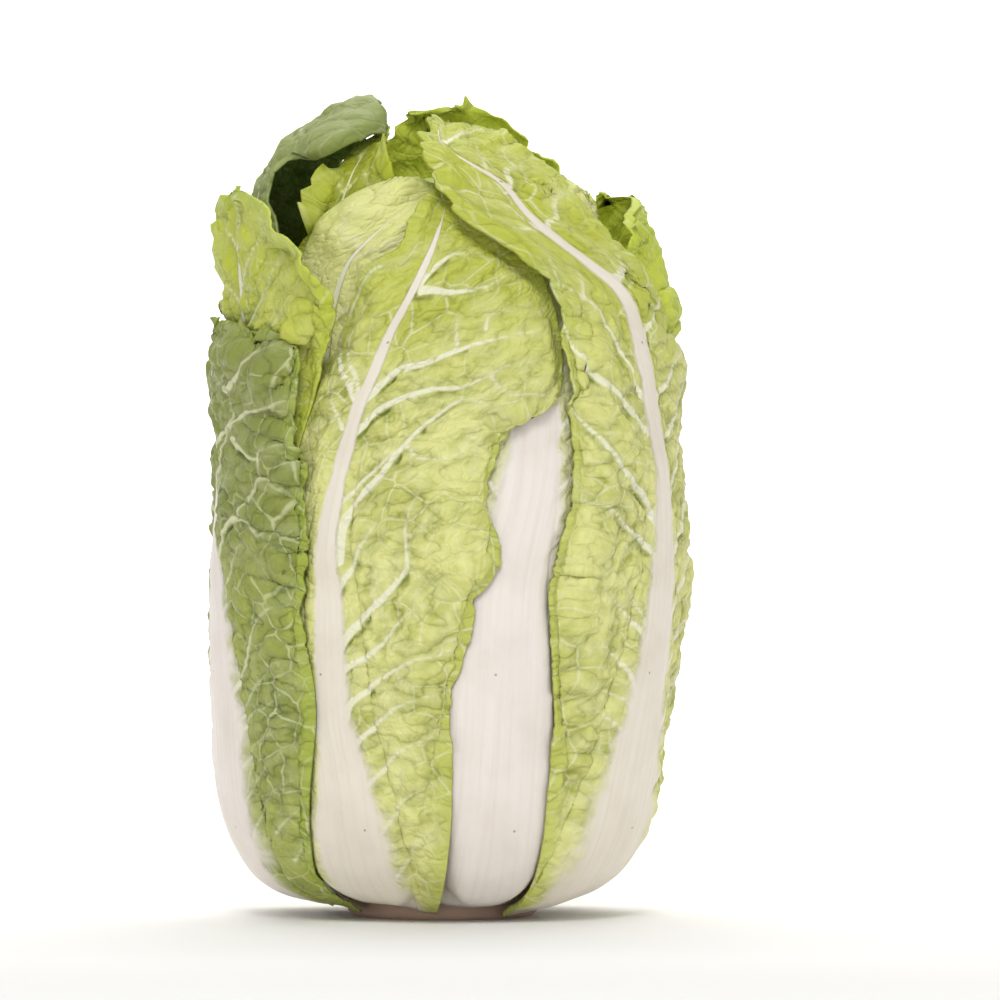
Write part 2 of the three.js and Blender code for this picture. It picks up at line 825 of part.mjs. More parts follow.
function piece(name, geometry, colour, roughness) {
  const material = new THREE.MeshStandardMaterial({ color: colour, roughness, metalness: 0 });
  const mesh = new THREE.Mesh(geometry, material);
  mesh.name = name;
  return mesh;
}

const cabbage = new THREE.Group();
cabbage.add(piece("stem", stemGeometry(), STEM_COLOUR, 0.8));
const crownTips = Array.from({ length: TIP_COUNT }, (_, k) => closeLeaf(tipPoints(k)));
cabbage.add(piece("heart", joined([heartGeometry(), ...crownTips]), HEART_COLOUR, 0.6));

const shapes = LEAVES.map(shapeOf);
let topmost = makeGrid((angle, s) => -heartDepth(angle, s));
LEAVES.forEach((leaf, order) => {
  const shape = shapes[order];
  const sheet = stretchOver(topmost, shape.hold);
  cabbage.add(piece(leaf.name, closeLeaf(leafPoints(leaf, order, sheet)), leaf.colour, 0.55));
  topmost = makeGrid((angle, s, i, j) => {
    if (roomInside(shape, angle, s) < -1.5 * SKIN_STEP) return topmost[i][j];
    const across = turn(angle - shape.middle(s)) * shape.perDegree(s);
    const share = clamp(Math.abs(across) / shape.width(s, Math.sign(across)), 0, 1);
    const onBlade = ramp(Math.abs(across), 0, shape.ribHalf(s) + RIB_FOOT);
    const relief = Math.max(VEIN_RAISE, 2 * PILLOW_RAISE) * onBlade * reliefShare(shape, s);
    const open = openness(order, angle, s);
    const top = sheet[i][j] + shape.thickness(s, Math.abs(across));
    return top + open * (shape.waveHeight(s, share) + relief);
  });
});

export default cabbage;
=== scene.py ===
# A head of napa cabbage on its cut stem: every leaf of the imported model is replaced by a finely
# veined and ruffled one in the same place.
#
# The head is designed in millimetres on its own skin, a round barrel: a point has an angle in
# degrees (0 in front, 90 at the right), a length along the skin from the stem up, and a lift in
# front of it. A leaf is an outline on that skin, and the leaves are laid on from the heart
# outwards, each stretched over those already there. Meshes are made in metres.
import math
import random

import bpy
import numpy as np
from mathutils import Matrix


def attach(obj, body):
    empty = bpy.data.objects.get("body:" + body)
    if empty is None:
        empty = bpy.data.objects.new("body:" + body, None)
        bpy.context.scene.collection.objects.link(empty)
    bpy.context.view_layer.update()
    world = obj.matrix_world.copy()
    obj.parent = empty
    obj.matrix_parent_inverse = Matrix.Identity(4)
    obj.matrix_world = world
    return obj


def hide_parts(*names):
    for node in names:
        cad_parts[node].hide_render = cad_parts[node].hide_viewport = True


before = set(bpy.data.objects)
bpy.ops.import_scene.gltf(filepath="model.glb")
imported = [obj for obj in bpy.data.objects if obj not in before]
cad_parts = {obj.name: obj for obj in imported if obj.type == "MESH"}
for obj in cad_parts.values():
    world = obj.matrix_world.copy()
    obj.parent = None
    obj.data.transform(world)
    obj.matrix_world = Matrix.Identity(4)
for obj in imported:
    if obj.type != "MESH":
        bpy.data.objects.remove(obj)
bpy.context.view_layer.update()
print("frame loaded,", len(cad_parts), "nodes")

metre = 0.001
degree = math.pi / 180

head = {
    "depthShare": 0.93,  # a little flatter from front to back
    "gap": 1.2,  # mm between a leaf and what it lies on
    "blade": 0.8,  # mm thick
    "ribAtBase": 6.5,
    "ribAtTip": 1.3,
    "rootShare": 0.4,  # a leaf is thinner where it grows out of the stem
    "rootLength": 26,
    "angleStep": 1.5,
    "skinStep": 2,
    "settlePasses": 160,
    "pressFrom": -7,  # a later leaf presses this far outside its margin
    "pressTo": 4,  # and fully from this far inside
    "hugWidth": 13,  # the strip along the margin that lies down on what is under it
    "hugTop": (165, 192),  # and the heights between which it stops doing so
    "relief": 3.7,  # the most that veins and puckers stand out
    "dent": 0.6,  # broad dents in the blade
    "drop": 1.5,  # how much the leaves' roots sag round the stem
    "reliefFrom": 5,
    "reliefTo": 45,
    "ribFoot": 6,
    "waveLength": 9,  # mm from one ruffle of a margin to the next
    "waveRunIn": 30,
    "waveRunOut": 15,
}

# The skin's outline as radius and height.
skinOutline = [
    (32.5, 4), (41.5, 5.6), (50, 10.5), (57, 20), (62.5, 35.5), (66, 63), (67, 93), (67, 122),
    (65.5, 152), (60.5, 181), (55.5, 197), (47.5, 211), (35, 223), (20, 230), (8, 232.5),
]

# Half the midrib's width at each height, before a leaf's own share.
ribHalfWidth = [
    (4, 15), (20, 19), (35, 17.5), (63, 14), (93, 11), (122, 7.5), (150, 5), (180, 3), (210, 1.8),
    (240, 1.2),
]


def ramp(x, start, end):
    t = np.clip((x - start) / (end - start), 0, 1)
    return t * t * (3 - 2 * t)


def mix(a, b, t):
    return a + (b - a) * t


# A smooth line through points (x, y) that never swings past them.
def through(points):
    xs, ys = np.array(points, float).T
    slopes = np.diff(ys) / np.diff(xs)
    before = slopes[:-1]
    after = slopes[1:]
    total = np.where(before * after > 0, before + after, 1)
    inside = np.where(before * after > 0, 2 * before * after / total, 0)
    tangents = np.concatenate([slopes[:1], inside, slopes[-1:]])

    def read(x):
        at = np.clip(x, xs[0], xs[-1])
        i = np.clip(np.searchsorted(xs, at) - 1, 0, len(xs) - 2)
        span = xs[i + 1] - xs[i]
        t = (at - xs[i]) / span
        u = 1 - t
        start = ys[i] * (1 + 2 * t) * u * u + tangents[i] * span * t * u * u
        return start + ys[i + 1] * t * t * (3 - 2 * t) - tangents[i + 1] * span * t * t * u

    return read


# Points about a step apart on a curve through the given ones.
def curveThrough(points, step):
    ring = np.array([points[0], *points, points[-1]], float)
    line = []
    for a, b, c, d in zip(ring, ring[1:], ring[2:], ring[3:]):
        count = max(2, math.ceil(np.linalg.norm(c - b) / step))
        t = np.linspace(0, 1, count, endpoint=False)[:, None]
        line.append(b + (c - a) * t / 2 + (2 * a - 5 * b + 4 * c - d) * t**2 / 2
                    + (3 * b - a - 3 * c + d) * t**3 / 2)
    return np.vstack([*line, ring[-1:]])


skinLine = curveThrough(skinOutline, 0.4)
skinLengths = np.concatenate([[0], np.cumsum(np.linalg.norm(np.diff(skinLine, axis=0), axis=1))])
skinLength = skinLengths[-1]
skinAlong = np.gradient(skinLine, skinLengths, axis=0)


def skinRadius(s):
    return np.interp(s, skinLengths, skinLine[:, 0])


def lengthAtHeight(z):
    return np.interp(z, skinLine[:, 1], skinLengths)


def place(angle, s, lift):
    outX = np.interp(s, skinLengths, skinAlong[:, 1])
    outZ = -np.interp(s, skinLengths, skinAlong[:, 0])
    r = skinRadius(s) + outX * lift
    height = np.interp(s, skinLengths, skinLine[:, 1]) + outZ * lift - head["drop"] * (1 - ramp(s, 0, 22))
    x = r * np.sin(angle * degree)
    y = -r * np.cos(angle * degree) * head["depthShare"]
    return np.stack(np.broadcast_arrays(x, y, height), axis=-1)


# The lift of the topmost surface so far, on a grid of angles and lengths.
gridAngles = np.arange(0, 360, head["angleStep"])[:, None]
gridLengths = np.minimum(np.arange(0, skinLength + head["skinStep"], head["skinStep"]), skinLength)[None, :]


def readGrid(grid, angle, s):
    a = np.mod(angle, 360) / head["angleStep"]
    b = np.clip(s / head["skinStep"], 0, grid.shape[1] - 1.001)
    i = np.floor(a).astype(int)
    j = np.floor(b).astype(int)
    here = i % len(grid)
    beside = (i + 1) % len(grid)
    low = mix(grid[here, j], grid[beside, j], a - i)
    high = mix(grid[here, j + 1], grid[beside, j + 1], a - i)
    return mix(low, high, b - j)


# A leaf's sheet: stretched over the grid, a gap above it, and no lower than it holds itself.
def stretchOver(grid, hold, standing):
    held = hold(gridLengths)
    held = np.where(held > 0, held * standing - 6 * (1 - standing), held)
    floor = np.maximum(grid + head["gap"], held)
    sheet = floor
    for _ in range(head["settlePasses"]):
        padded = np.pad(sheet, ((0, 0), (1, 1)), mode="edge")
        mean = (np.roll(sheet, 1, 0) + np.roll(sheet, -1, 0) + padded[:, :-2] + padded[:, 2:]) / 4
        sheet = np.maximum(floor, mean)
    return sheet


# Each leaf from the heart outwards. An outline row holds a height, then the angles of the left
# margin, the midrib and the right margin there.
#   rib    the midrib's width and thickness, as a share of the largest
#   wave   how far the margin's ruffles stand up, from the height waveFrom upwards
#   ruffle  mm from one of them to the next, where it isn't the usual
#   hug    0 where the margin doesn't lie down on what is under it
#   firm   how much of its own relief lifts the leaves that are laid on it
#   hold   lifts that the leaf holds by itself at some heights
#   stands  the angles between which its lift grows, and between which it goes back to nothing
#   white  how far the white reaches, as a share of half the midrib's width
#   ribEnd  how far below the tip the white starts to fade, where it isn't the usual
#   lobes  length and depth of the margin's lobes
#   grown  sides whose side veins grow by rule: -1 left, 1 right
#   rolls  margins that are rolled outwards: side, between two heights, degrees and width rolled
leaves = [
    {
        "name": "inner_leaf_frilled", "slot": "inner_leaf", "finish": "yellowLeaf", "seed": 3,
        "rib": 0.45, "wave": 6, "waveFrom": 190, "ruffle": 5, "firm": 0.15, "tipEnd": 14, "lobes": (8, 3.2), "grown": (-1, 1),
        "rows": 150, "columns": 72,
        "rolls": [(1, 190, 226, 70, 6), (-1, 190, 226, 90, 6)],
        "white": 0.5,
        "hold": [(150, -30), (195, -7), (212, -1), (222, 1), (228, 2)],
        "outline": [
            (4, -62, -47, -32), (35, -66, -47, -28), (93, -74, -46, -20), (150, -78, -44, -14),
            (190, -63, -42, -12), (203, -50, -38, -12), (212, -47, -36, -14), (222, -46, -36, -20),
            (227, -44, -36, -26),
        ],
    },
    {
        "name": "inner_leaf_left", "slot": "inner_leaf", "finish": "innerLeaf", "seed": 5,
        "rib": 0.6, "wave": 2.5, "waveFrom": 190, "tipEnd": 12, "lobes": (12, 2), "grown": (-1, 1),
        "rows": 145, "columns": 72,
        "white": 0.6,
        "hold": [(150, -30), (190, -9), (213, -5)],
        "outline": [
            (4, -60, -44, -28), (35, -66, -45, -26), (93, -72, -42, -12), (140, -70, -40, -2),
            (165, -64, -37, 5), (178, -58, -35, 8), (191, -52, -30, 10), (200, -44, -20, 12),
            (207, -36, -10, 14), (213, -28, -3, 16),
        ],
    },
    {
        "name": "crown_leaf", "slot": "bright_leaf", "finish": "brightLeaf", "seed": 8,
        "rib": 0.5, "wave": 4, "waveFrom": 200, "ruffle": 6, "firm": 0.5, "tipEnd": 14, "lobes": (12, 6), "grown": (-1, 1),
        "rows": 140, "columns": 98,
        "white": 0.4,
        "hold": [(170, -30), (203, -4), (216, 2), (228, 8)],
        "outline": [
            (4, 138, 165, 192), (35, 136, 168, 196), (93, 130, 170, 210), (150, 122, 170, 222),
            (185, 122, 170, 224), (205, 126, 168, 218), (218, 136, 166, 214), (229, 146, 166, 206),
        ],
    },
    {
        "name": "inner_leaf_right", "slot": "inner_leaf", "finish": "innerLeaf", "seed": 13,
        "rib": 0.55, "wave": 4, "waveFrom": 205, "tipEnd": 14, "lobes": (11, 3), "grown": (-1, 1),
        "rows": 120, "columns": 60,
        "white": 0.5,
        "hold": [(150, -30), (195, -9), (218, -7)],
        "outline": [
            (4, 70, 92, 112), (35, 66, 92, 116), (93, 58, 91, 124), (150, 50, 88, 126),
            (190, 48, 84, 118), (208, 48, 80, 108), (218, 50, 76, 98),
        ],
    },
    {
        "name": "centre_leaf", "slot": "pale_leaf", "finish": "whiteLeaf", "seed": 21,
        "rib": 1, "wave": 1.5, "waveFrom": 60, "tipEnd": 14, "lobes": (14, 2), "grown": (-1, 1),
        "rows": 150, "columns": 88,
        "white": 1.5,
        "hold": [(4, -4), (40, -6), (93, -8), (203, -12)],
        "outline": [
            (4, -6, 17, 43), (20, -6, 15, 41), (50, -9, 16, 42), (93, -18, 18, 52),
            (130, -25, 26, 60), (160, -22, 29, 60), (185, -12, 30, 54), (203, 4, 28, 46),
        ],
    },
    {
        "name": "hooded_leaf", "slot": "dull_leaf", "finish": "hoodLeaf", "seed": 34,
        "rib": 0.7, "wave": 2.5, "waveFrom": 205, "ruffle": 6, "tipEnd": 14, "lobes": (8, 2.5), "grown": (-1, 1),
        "rows": 165, "columns": 104,
        "rolls": [(1, 214, 240, -80, 13)],
        "stands": (-122, -88, -40, -24), "white": 0.7,
        "hold": [(150, -30), (188, -5), (203, 3), (211, 6), (223, 8.5), (229, 8), (231.5, 0)],
        "outline": [
            (4, -96, -78, -60), (35, -104, -78, -54), (93, -120, -78, -46), (150, -130, -79, -42),
            (185, -134, -80, -46), (197, -136, -80, -55), (205, -136, -80, -61),
            (210, -137, -80, -63), (213.5, -138, -80, -60),
            (216, -138, -79, -48), (218, -138, -79, -36),
            (222, -136, -78, -29), (226, -134, -76, -26), (230, -128, -74, -30),
        ],
    },
    {
        "name": "back_left_leaf", "slot": "pale_leaf", "finish": "leftLeaf", "seed": 55,
        "rib": 0.9, "wave": 3.5, "waveFrom": 120, "tipEnd": 14, "lobes": (12, 3), "grown": (-1, 1),
        "rows": 152, "columns": 82,
        "hold": [(4, -5), (150, -8), (190, -5), (212, 1)],
        "outline": [
            (4, 210, 228, 246), (35, 206, 228, 250), (63, 200, 228, 256), (93, 192, 228, 262),
            (130, 186, 228, 266), (160, 188, 228, 264), (185, 194, 226, 256), (202, 202, 224, 246),
            (212, 208, 222, 238),
        ],
    },
    {
        "name": "front_left_leaf", "slot": "pale_leaf", "finish": "paleLeaf", "seed": 89,
        "rib": 0.68, "wave": 2, "waveFrom": 60, "tipEnd": 12, "lobes": (14, 3), "grown": (),
        "rows": 212, "columns": 132,
        "rolls": [(1, 125, 155, 35, 4)],
        "white": 0.6,
        "hold": [(4, -4), (40, -6), (150, -7), (212, -5)],
        "outline": [
            (4, -54, -26, -2), (20, -50, -26, 2), (35, -45, -26, 3), (63, -46, -29, 3.5),
            (78, -49, -29.5, 7), (93, -53, -30, 10), (106, -57, -31, 16), (125, -58, -28.5, 14),
            (143, -54, -24, 20), (150, -48, -22, 33), (157, -42, -19, 37), (170, -31, -14, 38),
            (184, -25, -7, 34),
            (196, -12, -2, 27), (212, -4, 3, 16),
        ],
    },
    {
        "name": "back_right_leaf", "slot": "bright_leaf", "finish": "brightLeaf", "seed": 233,
        "rib": 0.95, "wave": 4.5, "waveFrom": 150, "ruffle": 7, "hug": 0, "firm": 0.7, "tipEnd": 14, "lobes": (13, 4), "grown": (-1, 1),
        "rows": 190, "columns": 105,
        "rolls": [(-1, 160, 204, 90, 6)],
        "stands": (72, 86, 98, 116),
        "hold": [
            (4, -4), (63, -4), (80, -1.5), (95, 0), (112, -0.5), (128, -3), (155, -3), (170, 1.5),
            (183, 4), (196, 4), (209, 2),
        ],
        "outline": [
            (4, 97, 122, 140), (35, 95, 124, 148), (63, 94, 127, 158), (80, 93, 129, 164),
            (93, 93, 130, 168), (122, 92, 132, 174), (150, 92, 133, 176), (163, 88, 133, 175),
            (172, 78, 134, 174), (181, 68, 134, 172), (193, 62, 132, 166),
            (203, 66, 126, 154), (209, 80, 120, 142),
        ],
    },
    {
        "name": "front_right_leaf", "slot": "pale_leaf", "finish": "paleLeaf", "seed": 144,
        "rib": 1, "wave": 2, "waveFrom": 60, "tipEnd": 8, "lobes": (11, 4), "grown": (1,),
        "rows": 222, "columns": 132,
        "rolls": [(-1, 150, 185, 50, 4)],
        "white": 0.8, "ribEnd": 52,
        "hold": [(4, -5), (63, -5), (110, -3.5), (150, -3.5), (190, -2.5), (219, 0), (229, 0)],
        "outline": [
            (4, 32, 56, 84), (20, 29, 57, 86), (35, 28.5, 58, 89), (63, 29.5, 63, 96),
            (93, 29, 70, 105), (128, 37, 73, 112), (143, 36.6, 69, 110), (160, 34, 65, 102), (171, 32, 61, 83),
            (181, 30, 56, 71), (190, 20, 45, 62), (197, 8, 35, 55), (204, 0, 27, 49),
            (212, -6, 21, 46), (217, -8, 10, 44), (221, -10, -1, 42), (229.5, -10, -4, 38),
        ],
    },
    {
        "name": "back_leaf", "slot": "pale_leaf", "finish": "leftLeaf", "seed": 377,
        "rib": 0.95, "wave": 4, "waveFrom": 120, "tipEnd": 14, "lobes": (11, 3), "grown": (-1, 1),
        "rows": 170, "columns": 96,
        "hold": [(4, -4), (63, -6), (150, -5), (190, -2), (210, 2)],
        "outline": [
            (4, 162, 182, 202), (35, 160, 182, 204), (63, 154, 182, 210), (93, 146, 182, 218),
            (130, 140, 182, 226), (160, 140, 183, 226), (185, 146, 184, 220), (200, 154, 184, 212),
            (210, 162, 184, 206),
        ],
    },
    {
        "name": "left_leaf", "slot": "pale_leaf", "finish": "leftLeaf", "seed": 610,
        "rib": 0.8, "wave": 4.5, "waveFrom": 165, "ruffle": 6, "tipEnd": 6, "lobes": (10, 4), "grown": (-1, 1),
        "rows": 185, "columns": 108,
        "rolls": [(1, 172, 200, 130, 12)],
        "hold": [(4, -8), (150, -9), (185, -4), (209, -2)],
        "outline": [
            (4, -130, -112, -94), (35, -132, -110, -84), (63, -132, -105, -72),
            (93, -130, -97, -60), (122, -126, -88, -47), (150, -118, -80, -36),
            (169, -110, -76, -28), (180, -104, -76, -24), (190, -98, -76, -30),
            (198, -99, -77, -42), (205, -97, -78, -50),
        ],
    },
    {
        "name": "outer_left_leaf", "slot": "dull_leaf", "finish": "dullLeaf", "seed": 987,
        "rib": 1, "wave": 3.5, "waveFrom": 85, "ruffle": 7, "tipEnd": 7, "lobes": (11, 5), "grown": (-1,),
        "rows": 196, "columns": 124,
        "rolls": [(1, 100, 172, 60, 4)],
        "white": 1.15,
        "hold": [(4, -6), (40, -4.5), (110, -3.5), (150, -3), (172, -1)],
        "outline": [
            (4, -98, -80, -46), (12, -98, -79, -43), (20, -99, -78, -40), (35, -100, -77, -37),
            (63, -104, -75, -33), (93, -112, -81, -36), (110, -118, -87, -34),
            (130, -122, -91, -35), (150, -122, -93, -34), (163, -116, -94, -35.5),
            (172, -108, -94, -38),
        ],
    },
]


# What a leaf's rows say, as functions of the length along the skin.
class Shape:
    def __init__(self, leaf):
        outline = leaf["outline"]
        self.leaf = leaf
        self.start = float(lengthAtHeight(outline[0][0]))
        self.end = float(lengthAtHeight(outline[-1][0]))
        left, middle, right = (
            through([(lengthAtHeight(row[0]), row[k]) for row in outline]) for k in (1, 2, 3)
        )
        self.left = left
        self.middle = middle
        self.right = right
        self.ribWidth = through([(lengthAtHeight(z), w) for z, w in ribHalfWidth])
        self.hold = through([(lengthAtHeight(z), lift) for z, lift in leaf["hold"]])
        self.waveStart = float(lengthAtHeight(leaf["waveFrom"]))

    def perDegree(self, s):
        return skinRadius(s) * degree

    def along(self, s):
        return (s - self.start) / (self.end - self.start)

    # Distance from the midrib to a margin. Side is -1 for left and 1 for right.
    def width(self, s, side):
        margin = np.where(side < 0, self.left(s), self.right(s))
        past = np.clip((s - self.end + self.leaf["tipEnd"]) / self.leaf["tipEnd"], 0, 1)
        return np.abs(margin - self.middle(s)) * self.perDegree(s) * np.sqrt(1 - 0.92 * past**2)

    def ribHalf(self, s):
        return np.minimum(self.ribWidth(s) * self.leaf["rib"], 0.8 * self.width(s, -1) + 1)

    def thickness(self, s, across):
        rib = mix(head["ribAtBase"], head["ribAtTip"], ramp(self.along(s), 0.1, 0.9))
        root = mix(head["rootShare"], 1, ramp(s, self.start, self.start + head["rootLength"]))
        crown = np.clip(1 - (across / (1.25 * self.ribHalf(s))) ** 2, 0, 1) ** 0.6
        stands = np.maximum(0, rib * self.leaf["rib"] * root - head["blade"])
        return head["blade"] + stands * crown

    def grown(self, s):
        return ramp(s, self.waveStart - head["waveRunIn"], self.waveStart + head["waveRunOut"])

    def reliefShare(self, s):
        return ramp(s, self.start + head["reliefFrom"], self.start + head["reliefTo"])


shapes = [Shape(leaf) for leaf in leaves]


# How far inside a leaf's outline a place lies, and below 0 outside it.
def roomInside(shape, angle, s):
    at = np.clip(s, shape.start, shape.end)
    across = (np.mod(angle - shape.middle(at) + 180, 360) - 180) * shape.perDegree(at)
    room = shape.width(at, np.where(across < 0, -1, 1)) - np.abs(across)
    return np.minimum(np.minimum(room, s - shape.start + 1), shape.end - s)


# 1 where a leaf lies open, and 0 where one that was laid on later presses it flat.
def openness(order, angle, s):
    bare = np.ones(np.broadcast(angle, s).shape)
    for shape in shapes[order + 1:]:
        pressed = ramp(roomInside(shape, angle, s), head["pressFrom"], head["pressTo"])
        bare = np.minimum(bare, 1 - pressed)
    return bare


# Uneven ups and downs from -1 to 1 along a line, about a size apart.
def uneven(along, size, seed):
    values = np.random.default_rng(seed).uniform(-1, 1, 512)
    at = np.asarray(along) / size + 200
    i = np.floor(at).astype(int)
    t = at - i
    return mix(values[i % 512], values[(i + 1) % 512], t * t * (3 - 2 * t))


# How deep the margin is cut, from 0 to 1: round lobes of uneven lengths with sharp notches.
def notches(along, length, seed):
    return 1 - np.minimum(1, 1.9 * np.abs(uneven(along, length * 0.6, seed))) ** 0.75


# How far the margin is rolled outwards, in radians: from one height to another, and unevenly.
def rollAngle(side, low, high, fold, s, seed):
    start = float(lengthAtHeight(low))
    end = float(lengthAtHeight(high))
    share = 0.75 + 0.25 * uneven(s, 9, seed + side)
    return fold * degree * share * ramp(s, start - 4, start + 14) * (1 - ramp(s, end - 10, end + 6))


# The points of a leaf's two faces, and what its relief and finish need at each of them.
def layLeaf(leaf, order, sheet, under):
    shape = shapes[order]
    seed = leaf["seed"]
    widest = mix(shape.start, shape.end, 0.55)
    leftWidth = shape.width(widest, -1)
    leftColumns = round(leaf["columns"] * float(leftWidth / (leftWidth + shape.width(widest, 1))))
    share = np.concatenate([
        np.linspace(-1, 0, leftColumns, endpoint=False),
        np.linspace(0, 1, leaf["columns"] - leftColumns),
    ])[None, :]
    side = np.where(share < 0, -1, 1)
    lobeLength, lobeDepth = leaf["lobes"]

    tipWidth = share * shape.width(shape.end, side)
    tipCut = lobeDepth * notches(tipWidth, lobeLength, seed + 1)
    tip = shape.end + lobeDepth * 0.6 - tipCut
    s = shape.start + np.linspace(0, 1, leaf["rows"])[:, None] * (tip - shape.start)

    edgeLine = s + 300 * side
    deep = 0.6 + 0.4 * uneven(edgeLine, 19, seed + 2)
    cut = lobeDepth * deep * notches(edgeLine, lobeLength, seed + 3)
    cut = cut + 0.3 * lobeDepth * notches(edgeLine, lobeLength * 0.28, seed + 4)
    margin = shape.width(s, side) - cut * shape.grown(s)
    margin = np.maximum(margin, 1.5)
    across = np.abs(share) * margin
    angle = shape.middle(s) + side * across / shape.perDegree(s)
    edge = np.minimum(margin - across, tip - s)

    bare = openness(order, angle, s)
    grown = shape.grown(s) * bare
    reach = np.abs(share) ** 3
    along = edgeLine + 0.25 * across
    length = leaf.get("ruffle", head["waveLength"])
    wave = leaf["wave"] * reach * (0.5 + 0.5 * uneven(along, length, seed + 5))
    wave = wave + 0.35 * leaf["wave"] * reach * uneven(along, length * 0.37, seed + 6)
    wave = wave + 0.22 * leaf["wave"] * np.exp(-edge / 3.5) * (0.5 + 0.5 * uneven(along, 1.9, seed + 7))
    atTip = np.exp(-(tip - s) / 7) * (1 - np.abs(share) ** 4)
    wave = wave + 0.55 * leaf["wave"] * atTip * (0.5 + 0.5 * uneven(across * side, 4.5, seed + 8))
    lift = readGrid(sheet, angle, s) + wave * grown
    dents = uneven(side * across + s / 2, 15, seed + 9) * uneven(s - side * across / 2, 13, seed + 10)
    lift = lift + head["dent"] * (1 + 2 * dents) * bare * ramp(across, 0, 18) * shape.reliefShare(s)
    low, high = lengthAtHeight(head["hugTop"])
    hug = (1 - ramp(edge, 0, head["hugWidth"])) * (1 - ramp(s, low, high))
    hug = leaf.get("hug", 1) * hug * ramp(s, shape.start, shape.start + 6)
    lift = mix(lift, np.minimum(lift, readGrid(under, angle, s) + 0.3 + 0.4 * wave * grown), hug)
    curled = s + 0.3 * leaf["wave"] * reach * uneven(along + 50, length * 0.45, seed + 11) * grown
    flat = side * across
    for rollSide, low, high, fold, length in leaf.get("rolls", ()):
        rolled = rollAngle(rollSide, low, high, fold, s, seed) * bare * (side == rollSide)
        length = np.minimum(length, 0.6 * margin)
        into = np.clip(length - (margin - across), 0, length)
        bend = np.copysign(np.maximum(np.abs(rolled), 0.02), fold) / length
        outward = margin - length + np.sin(bend * into) / bend
        across = np.where(into > 0, outward, across)
        lift = lift + np.where(into > 0, (1 - np.cos(bend * into)) / bend, 0)
    angle = shape.middle(s) + side * across / shape.perDegree(s)

    thickness = shape.thickness(s, across)
    inner = place(angle, curled, lift)
    raised = place(angle, curled, lift + thickness - head["blade"])
    facing = np.cross(np.gradient(raised, axis=1), np.gradient(raised, axis=0))
    facing /= np.linalg.norm(facing, axis=-1, keepdims=True)
    outer = raised + facing * head["blade"]

    ribHalf = shape.ribHalf(s)
    onBlade = ramp(np.abs(flat), ribHalf * 0.6, ribHalf + head["ribFoot"])
    white = mix(1, leaf.get("white", 0.8), ramp(s, 25, 80)) * (1.02 - ramp(s, tip - leaf.get("ribEnd", 26), tip - 6))
    fields = {
        "flat": np.stack([flat, s, 0 * s], axis=-1),
        "push": facing,
        "ribShare": np.abs(flat) / (ribHalf * white),
        "edgeAway": edge,
        "onBlade": onBlade,
        "carry": bare * shape.reliefShare(s) * ramp(edge, -0.5, 3),
    }
    return inner, outer, fields


# Joins two grids of points round their margin into one closed mesh.
def closeSheet(name, inner, outer, fields):
    rows, columns = inner.shape[:2]
    index = np.arange(rows * columns).reshape(rows, columns)
    a = index[:-1, :-1].ravel()
    b = index[:-1, 1:].ravel()
    c = index[1:, 1:].ravel()
    d = index[1:, :-1].ravel()
    under = rows * columns
    rim = np.concatenate([index[0, :], index[1:, -1], index[-1, -2::-1], index[-2:0:-1, 0]])
    after = np.roll(rim, -1)
    faces = np.vstack([
        np.stack([a, b, c, d], axis=1),
        np.stack([a, d, c, b], axis=1) + under,
        np.stack([after, rim, rim + under, after + under], axis=1),
    ])
    points = np.vstack([outer.reshape(-1, 3), inner.reshape(-1, 3)]) * metre
    mesh = bpy.data.meshes.new(name)
    mesh.from_pydata(points.tolist(), [], faces.tolist())
    fields = dict(fields)
    for field, values in fields.items():
        kind = "FLOAT_VECTOR" if values.ndim == 3 else "FLOAT"
        attribute = mesh.attributes.new(field, kind, "POINT")
        both = np.concatenate([values.ravel(), values.ravel()])
        attribute.data.foreach_set("vector" if kind == "FLOAT_VECTOR" else "value", both)
    outside = mesh.attributes.new("outside", "FLOAT", "POINT")
    outside.data.foreach_set("value", np.repeat([1.0, 0.0], under))
    return mesh


